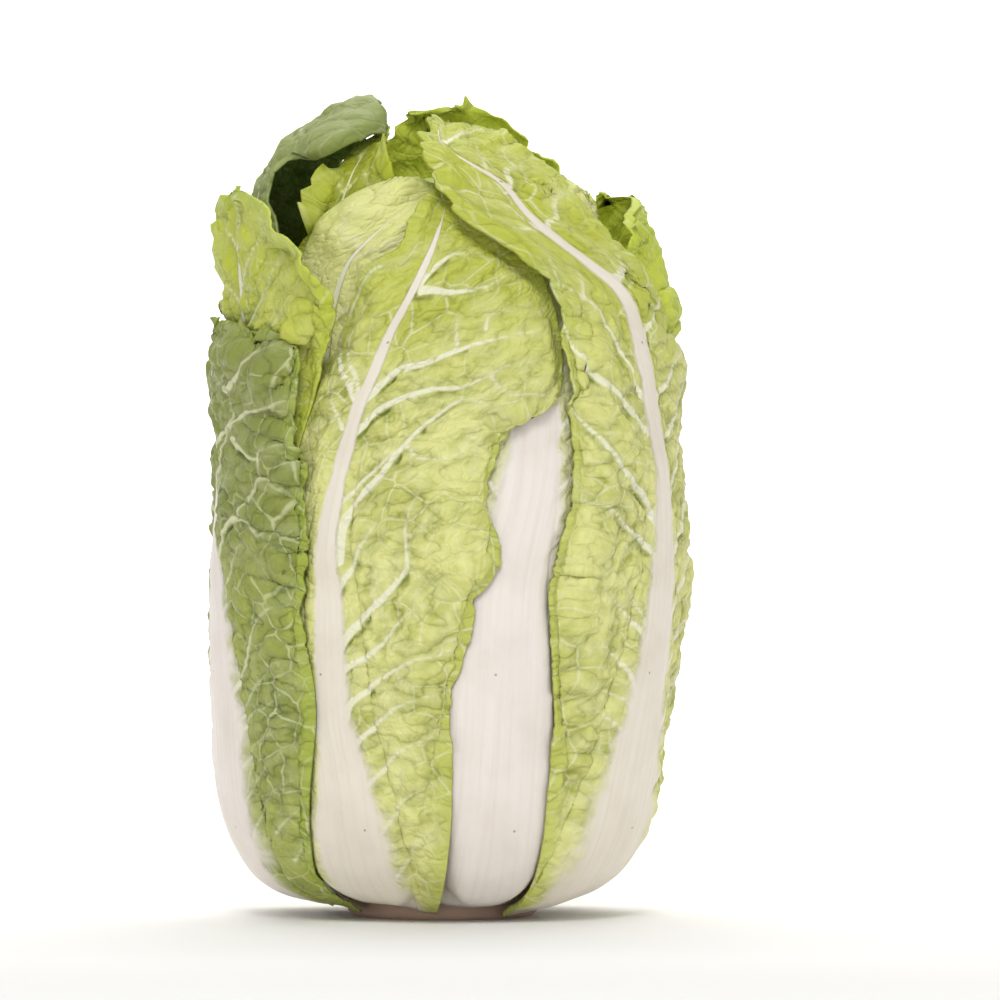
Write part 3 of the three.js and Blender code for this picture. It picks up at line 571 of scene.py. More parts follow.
# The main side veins of the leaves in front, as points (x, z) in mm seen from the front, then
# half the vein's width at its start and at its end.
veinCourses = {
    "front_left_leaf": [
        ([(-3, 189), (3, 194), (9, 195)], 1.1, 0.6),
        ([(-6, 183), (4, 183), (14, 184), (19, 187), (24, 189)], 1.1, 0.5),
        ([(-23, 152), (-13, 160), (-5, 162), (4, 165), (12, 168), (21, 170), (30, 171)], 1.7, 0.5),
        ([(5, 167), (5, 175)], 0.7, 0.4),
        ([(14, 172), (15, 176), (21, 178), (27, 178)], 0.6, 0.4),
        ([(-29, 140), (-21, 147), (-11, 152), (-2, 154), (6, 155), (15, 158), (21, 161), (30, 163)], 1.4, 0.5),
        ([(15, 158), (21, 153), (36, 152)], 0.6, 0.4),
        ([(-32, 105), (-31, 114), (-25, 123), (-18, 130), (-8, 141), (-2, 146), (7, 151), (19, 147)], 1.9, 0.5),
        ([(-13, 136), (-7, 134), (1, 134), (7, 136), (8, 141)], 0.9, 0.5),
        ([(8, 141), (14, 138)], 0.5, 0.4),
        ([(7, 151), (7, 154)], 0.5, 0.4),
        ([(-35, 93), (-28, 102), (-24, 110), (-20, 115)], 1.3, 0.5),
        ([(-32, 79), (-25, 87), (-18, 94), (-13, 99), (-10, 104), (-11, 114), (-6, 126)], 1.5, 0.45),
        ([(-20, 93), (-21, 99), (-20, 103)], 0.5, 0.4),
        ([(-10, 102), (-5, 100), (1, 99)], 0.5, 0.35),
        ([(-11, 112), (-7, 113), (-2, 116)], 0.5, 0.35),
        ([(-30, 73), (-18, 81), (-11, 88), (-5, 92)], 1.1, 0.5),
        ([(-27, 64), (-17, 71), (-6, 77), (3, 80)], 1.1, 0.5),
        ([(-14, 73), (-8, 66)], 0.5, 0.35),
        ([(-26, 51), (-17, 60), (-7, 65), (2, 68)], 1, 0.4),
        ([(-23, 39), (-14, 48), (-5, 53), (1, 55)], 0.9, 0.4),
        ([(-18, 26), (-11, 35), (-4, 40), (1, 42)], 0.8, 0.4),
        ([(-12, 15), (-8, 21), (-4, 26), (0, 29)], 0.7, 0.4),
        ([(-26, 157), (-29, 165), (-26, 173), (-23, 180)], 0.9, 0.5),
        ([(-34, 168), (-27, 181), (-20, 189), (-12, 191), (-8, 197)], 1, 0.6),
        ([(-31, 143), (-34, 152), (-33, 159)], 0.8, 0.4),
    ],
    "front_right_leaf": [
        ([(24, 206), (20, 208), (14, 208), (7, 208)], 0.9, 0.5),
        ([(22, 213), (17, 214), (9, 214)], 0.7, 0.4),
        ([(28, 201), (23, 200), (19, 201), (14, 203)], 0.7, 0.4),
        ([(15, 219), (11, 225), (6, 228)], 0.7, 0.4),
        ([(65, 139), (57, 147), (51, 154), (46, 158), (41, 165), (37, 173), (33, 182), (30, 188)], 1.7, 0.5),
        ([(59, 156), (53, 167), (50, 172), (46, 178), (41, 182), (34, 186), (31, 195)], 1.2, 0.5),
        ([(42, 181), (41, 187), (39, 190)], 0.6, 0.4),
        ([(62, 121), (54, 131), (48, 140), (41, 150), (39, 158)], 1.9, 0.6),
        ([(63, 107), (56, 114), (50, 120), (45, 123), (41, 128)], 1.4, 0.5),
        ([(57, 120), (51, 121)], 0.5, 0.4),
        ([(60, 89), (57, 95), (54, 101)], 0.9, 0.4),
        ([(60, 83), (52, 93), (49, 95), (49, 101)], 1.1, 0.4),
        ([(56, 72), (50, 79), (45, 80), (39, 81)], 1, 0.4),
        ([(55, 63), (46, 68), (40, 66)], 0.8, 0.4),
        ([(54, 54), (47, 61), (42, 63)], 0.8, 0.4),
        ([(51, 44), (46, 50), (40, 53)], 0.7, 0.4),
        ([(47, 34), (43, 40), (38, 41)], 0.7, 0.4),
        ([(43, 24), (39, 29), (35, 30)], 0.6, 0.4),
        ([(59, 168), (64, 169)], 0.6, 0.4),
    ],
    "outer_left_leaf": [
        ([(-69, 137), (-65, 142), (-59, 146), (-53, 148), (-45, 150), (-39, 152)], 1.6, 0.6),
        ([(-63, 144), (-62, 149), (-64, 155), (-68, 157)], 1, 0.5),
        ([(-63, 155), (-59, 157), (-54, 162), (-50, 164), (-43, 165)], 1.1, 0.5),
        ([(-62, 140), (-59, 137), (-54, 134), (-51, 137), (-42, 138)], 1, 0.5),
        ([(-53, 134), (-52, 128)], 0.8, 0.6),
        ([(-65, 114), (-61, 117), (-56, 123), (-53, 127), (-48, 127), (-42, 124), (-39, 121)], 1.5, 0.6),
        ([(-67, 127), (-62, 129), (-57, 133)], 0.8, 0.4),
        ([(-63, 116), (-59, 116), (-55, 113), (-53, 112), (-48, 114), (-42, 113)], 0.9, 0.4),
        ([(-61, 107), (-56, 107), (-53, 104), (-51, 99)], 0.9, 0.4),
        ([(-56, 80), (-55, 86), (-51, 90), (-46, 93), (-45, 99)], 1, 0.5),
        ([(-56, 66), (-50, 74), (-46, 75), (-41, 77)], 0.8, 0.4),
        ([(-57, 59), (-52, 62), (-48, 65), (-42, 69)], 0.8, 0.4),
        ([(-55, 51), (-49, 55), (-43, 59)], 0.7, 0.4),
        ([(-53, 43), (-48, 48), (-42, 52)], 0.7, 0.4),
        ([(-51, 35), (-46, 40), (-41, 43)], 0.7, 0.4),
        ([(-48, 26), (-44, 31), (-40, 34)], 0.6, 0.4),
        ([(-43, 18), (-40, 23)], 0.6, 0.4),
    ],
}

veins = {
    "spacing": 21,  # mm between two side veins that grow by rule
    "slopeLow": 0.95,  # how much they climb for each mm away from the midrib
    "slopeHigh": 0.55,
    "slopeRise": 0.006,
    "half": 1.5,
    "endHalf": 0.4,
    "twigEvery": (9, 17),
    "twigLength": (5, 11),
    "twigHalf": 0.35,
}


# A place seen from the front at (x, z), on a leaf's flat: across from the midrib, and along. The
# leaf's face lies some way off the skin, and further off towards the crown.
def onFlat(shape, point):
    x, z = point
    lift = mix(2.5, 7, ramp(z, 150, 215))
    s = lengthAtHeight(z)
    for _ in range(4):
        s = lengthAtHeight(z + lift * np.interp(s, skinLengths, skinAlong[:, 0]))
    r = skinRadius(s) + lift * np.interp(s, skinLengths, skinAlong[:, 1])
    angle = math.asin(max(-1, min(1, x / r))) / degree
    return (float((angle - shape.middle(s)) * shape.perDegree(s)), float(s))


# Side veins that leave the midrib one after another and climb to the margin, some forked.
def grownVeins(shape, side, draw):
    courses = []
    s = shape.start + 34 + draw.uniform(0, 8)
    while s < shape.end - 12:
        slope = mix(veins["slopeLow"], veins["slopeHigh"], shape.along(s)) * draw.uniform(0.85, 1.15)
        reach = 0.95 * float(shape.width(s, side))
        first = 0.5 * float(shape.ribHalf(s))
        points = []
        for k in range(6):
            across = mix(first, reach, k / 5)
            climb = slope * across + veins["slopeRise"] * across**2 + draw.uniform(-1.2, 1.2)
            points.append((side * across, min(s + climb, shape.end - 1)))
        size = mix(1, 0.5, shape.along(s)) * veins["half"]
        courses.append((points, size, veins["endHalf"]))
        for k in (2, 3):
            away = draw.choice((-1, 1))
            x, y = points[k]
            tip = (x + side * reach * 0.28, y + reach * (0.1 if away < 0 else 0.5))
            bend = ((x + tip[0]) / 2 + draw.uniform(-1, 1), (y + tip[1]) / 2 + draw.uniform(-1, 1))
            courses.append(([(x, y), bend, tip], size * 0.5, veins["endHalf"]))
        s += veins["spacing"] * draw.uniform(0.8, 1.15) * mix(1, 0.7, shape.along(s))
    return courses


# Fine twigs off both sides of a vein.
def twigs(line, draw):
    courses = []
    steps = np.linalg.norm(np.diff(line, axis=0), axis=1)
    length = float(steps.sum())
    at = draw.uniform(3, 8)
    side = draw.choice((-1, 1))
    while at < length - 2:
        k = int(np.searchsorted(np.cumsum(steps), at))
        ahead = line[min(k + 1, len(line) - 1)] - line[k]
        heading = math.atan2(ahead[1], ahead[0]) + side * draw.uniform(0.6, 1.1)
        reach = draw.uniform(*veins["twigLength"])
        x, y = line[k]
        bend = heading + side * draw.uniform(-0.5, 0.2)
        half = (x + math.cos(heading) * reach / 2, y + math.sin(heading) * reach / 2)
        tip = (half[0] + math.cos(bend) * reach / 2, half[1] + math.sin(bend) * reach / 2)
        courses.append(([(x, y), half, tip], veins["twigHalf"], 0.15))
        at += draw.uniform(*veins["twigEvery"])
        side = -side
    return courses


# A leaf's vein net as a flat wire mesh, in millimetres, with half the vein's width at each point.
def veinNet(leaf, shape):
    draw = random.Random(leaf["seed"])
    courses = []
    for points, startHalf, endHalf in veinCourses.get(leaf["name"], []):
        course = [onFlat(shape, point) for point in points]
        across, s = course[0]
        inside = 0.4 * float(shape.ribHalf(s))
        nearest = min([math.dist(course[0], other) for line, _, _ in courses for other in line], default=99)
        if startHalf > 0.65 and inside < abs(across) < 38 and nearest > 5:
            root = (math.copysign(inside, across), s - 0.9 * (abs(across) - inside) - 2)
            course.insert(0, root)
        courses.append((course, startHalf, endHalf))
    for side in leaf["grown"]:
        courses += grownVeins(shape, side, draw)
    lines = [(curveThrough(points, 1), startHalf, endHalf) for points, startHalf, endHalf in courses]
    for line, _, _ in list(lines):
        for points, startHalf, endHalf in twigs(line, draw):
            lines.append((curveThrough(points, 1), startHalf, endHalf))
    starts = np.cumsum([0, *[len(line) for line, _, _ in lines]])
    edges = [(k, k + 1) for a, b in zip(starts, starts[1:]) for k in range(a, b - 1)]
    halves = []
    for line, startHalf, endHalf in lines:
        k = np.arange(len(line))
        flare = 0.45 * startHalf * np.exp(-k / 5) * (startHalf > 0.9)
        halves.append(mix(0.85 * startHalf, 0.45 * endHalf, (k / (len(line) - 1)) ** 0.8) + flare)
    points = np.vstack([line for line, _, _ in lines])
    halves = np.concatenate(halves)
    for first in starts[:-1]:
        beside = np.hypot(*(points - points[first]).T) < 0.8
        halves[first] = halves[beside].max()
    points = points + 0.25 * np.sin(points[:, ::-1] / 2.7)
    points = np.column_stack([points, 0 * halves])
    mesh = bpy.data.meshes.new(leaf["name"] + ".veins")
    mesh.from_pydata(points.tolist(), edges, [])
    mesh.attributes.new("half", "FLOAT", "POINT").data.foreach_set("value", halves)
    net = bpy.data.objects.new(mesh.name, mesh)
    bpy.context.scene.collection.objects.link(net)
    return net


# Adds a node with its settings, and its inputs as values or as links.
def add(tree, kind, settings=None, inputs=None):
    node = tree.nodes.new(kind)
    for name, value in (settings or {}).items():
        setattr(node, name, value)
    for socket, value in (inputs or {}).items():
        if isinstance(value, bpy.types.NodeSocket):
            tree.links.new(value, node.inputs[socket])
        else:
            node.inputs[socket].default_value = value
    return node


net = {
    "cell": 8.5,  # mm across a pucker between the fine veins
    "bend": 3.5,  # mm that the net's lines are bent
    "bendSize": 9,
    "crumple": 9,  # mm across the blade's cushions
}


# The fine net's distance from its nearest line, in mm, on a leaf's flat.
def fineNet(tree, flat, cell):
    bend = add(tree, "ShaderNodeTexNoise", {}, {"Vector": flat, "Scale": 1 / net["bendSize"], "Detail": 1})
    centred = add(tree, "ShaderNodeVectorMath", {"operation": "SUBTRACT"},
                  {0: bend.outputs["Color"], 1: (0.5, 0.5, 0.5)})
    bent = add(tree, "ShaderNodeVectorMath", {"operation": "MULTIPLY_ADD"},
               {0: centred.outputs[0], 1: (net["bend"], net["bend"], 0), 2: flat})
    cells = add(tree, "ShaderNodeTexVoronoi", {"feature": "DISTANCE_TO_EDGE", "voronoi_dimensions": "2D"},
                {"Vector": bent.outputs[0], "Scale": 1 / cell})
    away = add(tree, "ShaderNodeMath", {"operation": "MULTIPLY"}, {0: cells.outputs["Distance"], 1: cell})
    return away.outputs[0]


# Small cushions between sharp meandering creases, from 0 in a crease to 1.
def crumple(tree, flat):
    squeezed = add(tree, "ShaderNodeVectorMath", {"operation": "MULTIPLY"}, {0: flat, 1: (0.8, 1.25, 0)})
    noise = add(tree, "ShaderNodeTexNoise", {}, {
        "Vector": squeezed.outputs[0], "Scale": 1 / net["crumple"], "Detail": 2, "Roughness": 0.45,
    })
    offset = add(tree, "ShaderNodeMath", {"operation": "SUBTRACT"}, {0: noise.outputs[0], 1: 0.5})
    away = add(tree, "ShaderNodeMath", {"operation": "ABSOLUTE"}, {0: offset.outputs[0]})
    cushion = add(tree, "ShaderNodeMapRange", {}, {0: away.outputs[0], 1: 0, 2: 0.14})
    rounded = add(tree, "ShaderNodeMath", {"operation": "POWER"}, {0: cushion.outputs[0], 1: 0.6})
    return rounded.outputs[0]


# The relief of a leaf: its vein net as ridges, the puckered blade between them, and the fine
# lengthwise ribs of its midrib.
def reliefTree():
    tree = bpy.data.node_groups.new("leafRelief", "GeometryNodeTree")
    for name, kind in (
        ("Leaf", "NodeSocketGeometry"), ("Vein net", "NodeSocketObject"),
        ("Ridge share", "NodeSocketFloat"), ("Pillow height", "NodeSocketFloat"),
        ("Pucker height", "NodeSocketFloat"), ("Pucker size", "NodeSocketFloat"),
        ("Wrinkle height", "NodeSocketFloat"), ("Crumple height", "NodeSocketFloat"),
        ("Most relief", "NodeSocketFloat"),
        ("Crease depth", "NodeSocketFloat"), ("Rib groove", "NodeSocketFloat"),
        ("Finish", "NodeSocketMaterial"),
    ):
        tree.interface.new_socket(name=name, in_out="INPUT", socket_type=kind)
    tree.interface.new_socket(name="Leaf", in_out="OUTPUT", socket_type="NodeSocketGeometry")
    given = add(tree, "NodeGroupInput").outputs
    field = {}
    for name, kind in (("flat", "FLOAT_VECTOR"), ("push", "FLOAT_VECTOR"), ("onBlade", "FLOAT"), ("carry", "FLOAT")):
        read = add(tree, "GeometryNodeInputNamedAttribute", {"data_type": kind}, {"Name": name})
        field[name] = read.outputs[0]
    wire = add(tree, "GeometryNodeObjectInfo", {}, {"Object": given["Vein net"]}).outputs["Geometry"]
    near = add(tree, "GeometryNodeProximity", {"target_element": "EDGES"},
               {0: wire, "Sample Position": field["flat"]})
    nearest = add(tree, "GeometryNodeSampleNearest", {}, {0: wire, "Sample Position": near.outputs["Position"]})
    half = add(tree, "GeometryNodeInputNamedAttribute", {"data_type": "FLOAT"}, {"Name": "half"})
    width = add(tree, "GeometryNodeSampleIndex", {"data_type": "FLOAT"},
                {0: wire, "Value": half.outputs[0], "Index": nearest.outputs[0]}).outputs[0]
    away = add(tree, "ShaderNodeMath", {"operation": "SUBTRACT"}, {0: near.outputs["Distance"], 1: width})

    fromVein = add(tree, "ShaderNodeVectorMath", {"operation": "SUBTRACT"},
                   {0: field["flat"], 1: near.outputs["Position"]})
    side = add(tree, "ShaderNodeSeparateXYZ", {}, {0: fromVein.outputs[0]})
    below = add(tree, "ShaderNodeMapRange", {}, {0: side.outputs["Y"], 1: 0, 2: -0.6})
    folds = add(tree, "ShaderNodeTexNoise", {}, {"Vector": field["flat"], "Scale": 0.09, "Detail": 2})
    some = add(tree, "ShaderNodeMapRange", {"interpolation_type": "SMOOTHSTEP"},
               {0: folds.outputs[0], 1: 0.47, 2: 0.58})
    comes = add(tree, "ShaderNodeMapRange", {"interpolation_type": "SMOOTHSTEP"}, {0: away.outputs[0], 1: -0.1, 2: 0.5})
    goes = add(tree, "ShaderNodeMapRange", {"interpolation_type": "SMOOTHSTEP"}, {0: away.outputs[0], 1: 2.2, 2: 0.7})
    thick = add(tree, "ShaderNodeMapRange", {}, {0: width, 1: 0.35, 2: 0.8})
    crease = add(tree, "ShaderNodeMath", {"operation": "MULTIPLY"}, {0: comes.outputs[0], 1: goes.outputs[0]})
    crease = add(tree, "ShaderNodeMath", {"operation": "MULTIPLY"}, {0: crease.outputs[0], 1: below.outputs[0]})
    crease = add(tree, "ShaderNodeMath", {"operation": "MULTIPLY"}, {0: crease.outputs[0], 1: some.outputs[0]})
    crease = add(tree, "ShaderNodeMath", {"operation": "MULTIPLY"}, {0: crease.outputs[0], 1: thick.outputs[0]})
    sunk = add(tree, "ShaderNodeMath", {"operation": "MULTIPLY"}, {0: crease.outputs[0], 1: given["Crease depth"]})

    foot = add(tree, "ShaderNodeMath", {"operation": "MULTIPLY"}, {0: width, 1: 1.7})
    crest = add(tree, "ShaderNodeMath", {"operation": "MULTIPLY"}, {0: width, 1: given["Ridge share"]})
    ridge = add(tree, "ShaderNodeMapRange", {"interpolation_type": "SMOOTHSTEP"},
                {0: near.outputs["Distance"], 1: foot.outputs[0], 2: 0, 3: 0, 4: crest.outputs[0]})
    pillow = add(tree, "ShaderNodeMapRange", {"interpolation_type": "SMOOTHSTEP"},
                 {0: away.outputs[0], 1: 0.6, 2: 7, 3: 0, 4: given["Pillow height"]})

    cellAway = fineNet(tree, field["flat"], net["cell"])
    pucker = add(tree, "ShaderNodeMapRange", {"interpolation_type": "SMOOTHSTEP"},
                 {0: cellAway, 1: 0.2, 2: given["Pucker size"], 3: 0, 4: given["Pucker height"]})
    uneven = add(tree, "ShaderNodeTexNoise", {}, {"Vector": field["flat"], "Scale": 0.13, "Detail": 3})
    wrinkle = add(tree, "ShaderNodeMath", {"operation": "MULTIPLY"},
                  {0: uneven.outputs[0], 1: given["Wrinkle height"]})
    swell = add(tree, "ShaderNodeMath", {"operation": "ADD"}, {0: pillow.outputs[0], 1: pucker.outputs[0]})
    swell = add(tree, "ShaderNodeMath", {"operation": "ADD"}, {0: swell.outputs[0], 1: wrinkle.outputs[0]})
    crumpled = crumple(tree, field["flat"])
    folds = add(tree, "ShaderNodeMath", {"operation": "MULTIPLY"}, {0: crumpled, 1: given["Crumple height"]})
    swell = add(tree, "ShaderNodeMath", {"operation": "ADD"}, {0: swell.outputs[0], 1: folds.outputs[0]})
    blade = add(tree, "ShaderNodeMath", {"operation": "ADD"}, {0: swell.outputs[0], 1: ridge.outputs[0]})
    blade = add(tree, "ShaderNodeMath", {"operation": "SUBTRACT"}, {0: blade.outputs[0], 1: sunk.outputs[0]})
    blade = add(tree, "ShaderNodeMath", {"operation": "MINIMUM"}, {0: blade.outputs[0], 1: given["Most relief"]})
    blade = add(tree, "ShaderNodeMath", {"operation": "MULTIPLY"}, {0: blade.outputs[0], 1: field["onBlade"]})

    long = add(tree, "ShaderNodeVectorMath", {"operation": "MULTIPLY"}, {0: field["flat"], 1: (0.5, 0.012, 0)})
    grain = add(tree, "ShaderNodeTexNoise", {}, {"Vector": long.outputs[0], "Scale": 1, "Detail": 2})
    onRib = add(tree, "ShaderNodeMath", {"operation": "SUBTRACT"}, {0: 1, 1: field["onBlade"]})
    groove = add(tree, "ShaderNodeMath", {"operation": "MULTIPLY"}, {0: grain.outputs[0], 1: given["Rib groove"]})
    groove = add(tree, "ShaderNodeMath", {"operation": "MULTIPLY"}, {0: groove.outputs[0], 1: onRib.outputs[0]})
    relief = add(tree, "ShaderNodeMath", {"operation": "ADD"}, {0: blade.outputs[0], 1: groove.outputs[0]})
    relief = add(tree, "ShaderNodeMath", {"operation": "MULTIPLY"}, {0: relief.outputs[0], 1: field["carry"]})
    reach = add(tree, "ShaderNodeMath", {"operation": "MULTIPLY"}, {0: relief.outputs[0], 1: metre})
    offset = add(tree, "ShaderNodeVectorMath", {"operation": "SCALE"}, {0: field["push"], "Scale": reach.outputs[0]})

    moved = add(tree, "GeometryNodeSetPosition", {}, {0: given["Leaf"], "Offset": offset.outputs[0]})
    stored = add(tree, "GeometryNodeStoreNamedAttribute", {"data_type": "FLOAT"},
                 {0: moved.outputs[0], "Name": "veinAway", "Value": away.outputs[0]})
    # Swell is also stored for the painted shade in the blade's hollows.
    stored = add(tree, "GeometryNodeStoreNamedAttribute", {"data_type": "FLOAT"},
                 {0: stored.outputs[0], "Name": "swell", "Value": swell.outputs[0]})
    stored = add(tree, "GeometryNodeStoreNamedAttribute", {"data_type": "FLOAT"},
                 {0: stored.outputs[0], "Name": "veinHalf", "Value": width})
    # The crease mask sinks the blade and is also stored for painted shade in the leaf's colour.
    stored = add(tree, "GeometryNodeStoreNamedAttribute", {"data_type": "FLOAT"},
                 {0: stored.outputs[0], "Name": "crease", "Value": crease.outputs[0]})
    smooth = add(tree, "GeometryNodeSetShadeSmooth", {}, {0: stored.outputs[0]})
    real = add(tree, "GeometryNodeRealizeInstances", {}, {0: smooth.outputs[0]})
    finish = add(tree, "GeometryNodeSetMaterial", {}, {0: real.outputs[0], "Material": given["Finish"]})
    add(tree, "NodeGroupOutput", {}, {0: finish.outputs[0]})
    return tree


relief = {
    "Ridge share": 0.8,
    "Pillow height": 1.6,
    "Pucker height": 0.6,
    "Pucker size": 3,
    "Wrinkle height": 1.2,
    "Crumple height": 1.0,
    "Crease depth": 1.6,
    "Most relief": head["relief"],
    "Rib groove": 0.5,
}


# Runs the relief on a leaf and leaves its plain mesh.
def raiseRelief(piece, tree, wire, finish):
    modifier = piece.modifiers.new("relief", "NODES")
    modifier.node_group = tree
    values = dict(relief)
    values["Vein net"] = wire
    values["Finish"] = finish
    for socket in tree.interface.items_tree:
        if socket.in_out == "INPUT" and socket.name in values:
            modifier[socket.identifier] = values[socket.name]
    bpy.context.view_layer.update()
    graph = bpy.context.evaluated_depsgraph_get()
    mesh = bpy.data.meshes.new_from_object(piece.evaluated_get(graph))
    piece.modifiers.clear()
    flat = piece.data
    piece.data = mesh
    bpy.data.meshes.remove(flat)
    mesh.name = piece.name


def linear(hex, alpha=1):
    value = int(hex.lstrip("#"), 16)
    parts = [(value >> shift & 255) / 255 for shift in (16, 8, 0)]
    return (*[p / 12.92 if p <= 0.04045 else ((p + 0.055) / 1.055) ** 2.4 for p in parts], alpha)


# Cabbage leaf, grown: a waxy cuticle over wet flesh, so a soft satin gloss on the white midrib and a duller, finely
# netted blade. Colours are those of the outer face, which shows. The crease colour is painted shade in the blade's
# creases, and the dark colour is also painted shade in its hollows.
leafLooks = {
    "paleLeaf": {
        "netShare": 0.5, "crease": "#727f24",
        "rib": "#e9e1d3", "ribShade": "#d9cdbd", "vein": "#ecebcf",
        "light": "#dfdf92", "dark": "#a3a93c", "upper": "#b2ba30", "upperFrom": (140, 195),
        "margin": "#b6c04c", "inside": "#bcc466",
    },
    "whiteLeaf": {
        "netShare": 0.3, "crease": "#a0a258",
        "rib": "#ebe4dd", "ribShade": "#dccfc7", "vein": "#eeebd8",
        "light": "#dddcae", "dark": "#c1c47e", "upper": "#c9cc8c", "upperFrom": (120, 200),
        "margin": "#bfc678", "inside": "#cfd29a",
    },
    "dullLeaf": {
        "netShare": 0.7, "crease": "#4a5a20",
        "rib": "#ece4dc", "ribShade": "#dbcdc2", "vein": "#d9dbb0",
        "light": "#a9b05a", "dark": "#748230", "upper": "#828c44", "upperFrom": (80, 130),
        "margin": "#a8b845", "inside": "#7d913f",
    },
    "leftLeaf": {
        "netShare": 0.5, "crease": "#68762a",
        "rib": "#ede6de", "ribShade": "#dccfc4", "vein": "#dcdfae",
        "light": "#c4c85c", "dark": "#9aa63c", "upper": "#bcc646", "upperFrom": (150, 200),
        "margin": "#bccb45", "inside": "#c0c855",
    },
    # The hood's inside colour is painted shade of the hollow under its flap.
    "hoodLeaf": {
        "netShare": 0.6, "crease": "#47551e",
        "rib": "#dfe0c2", "ribShade": "#c9ceaa", "vein": "#bcc294",
        "light": "#9fa86a", "dark": "#7a8a44", "upper": "#929c5e", "upperFrom": (190, 230),
        "margin": "#8c9a52", "inside": "#3d5715",
    },
    "brightLeaf": {
        "netShare": 0.5, "crease": "#4d6414",
        "rib": "#ece5da", "ribShade": "#dacfc0", "vein": "#d3d896",
        "light": "#c6d052", "dark": "#93a232", "upper": "#b8c63e", "upperFrom": (150, 220),
        "margin": "#c4d148", "inside": "#c8d44e",
    },
    "yellowLeaf": {
        "netShare": 0.4, "crease": "#7f8a22",
        "rib": "#e6e8ba", "ribShade": "#d9dca0", "vein": "#dcdf98",
        "light": "#b6ba3c", "dark": "#87911e", "upper": "#9da728", "upperFrom": (190, 225),
        "margin": "#b2bf36", "inside": "#aab534",
    },
    "innerLeaf": {
        "netShare": 0.35, "crease": "#979c48",
        "rib": "#edebd6", "ribShade": "#dfdec0", "vein": "#e8e7bf",
        "light": "#ecebb0", "dark": "#cdd07a", "upper": "#e4e490", "upperFrom": (150, 210),
        "margin": "#bfc768", "inside": "#bfc66e",
    },
}


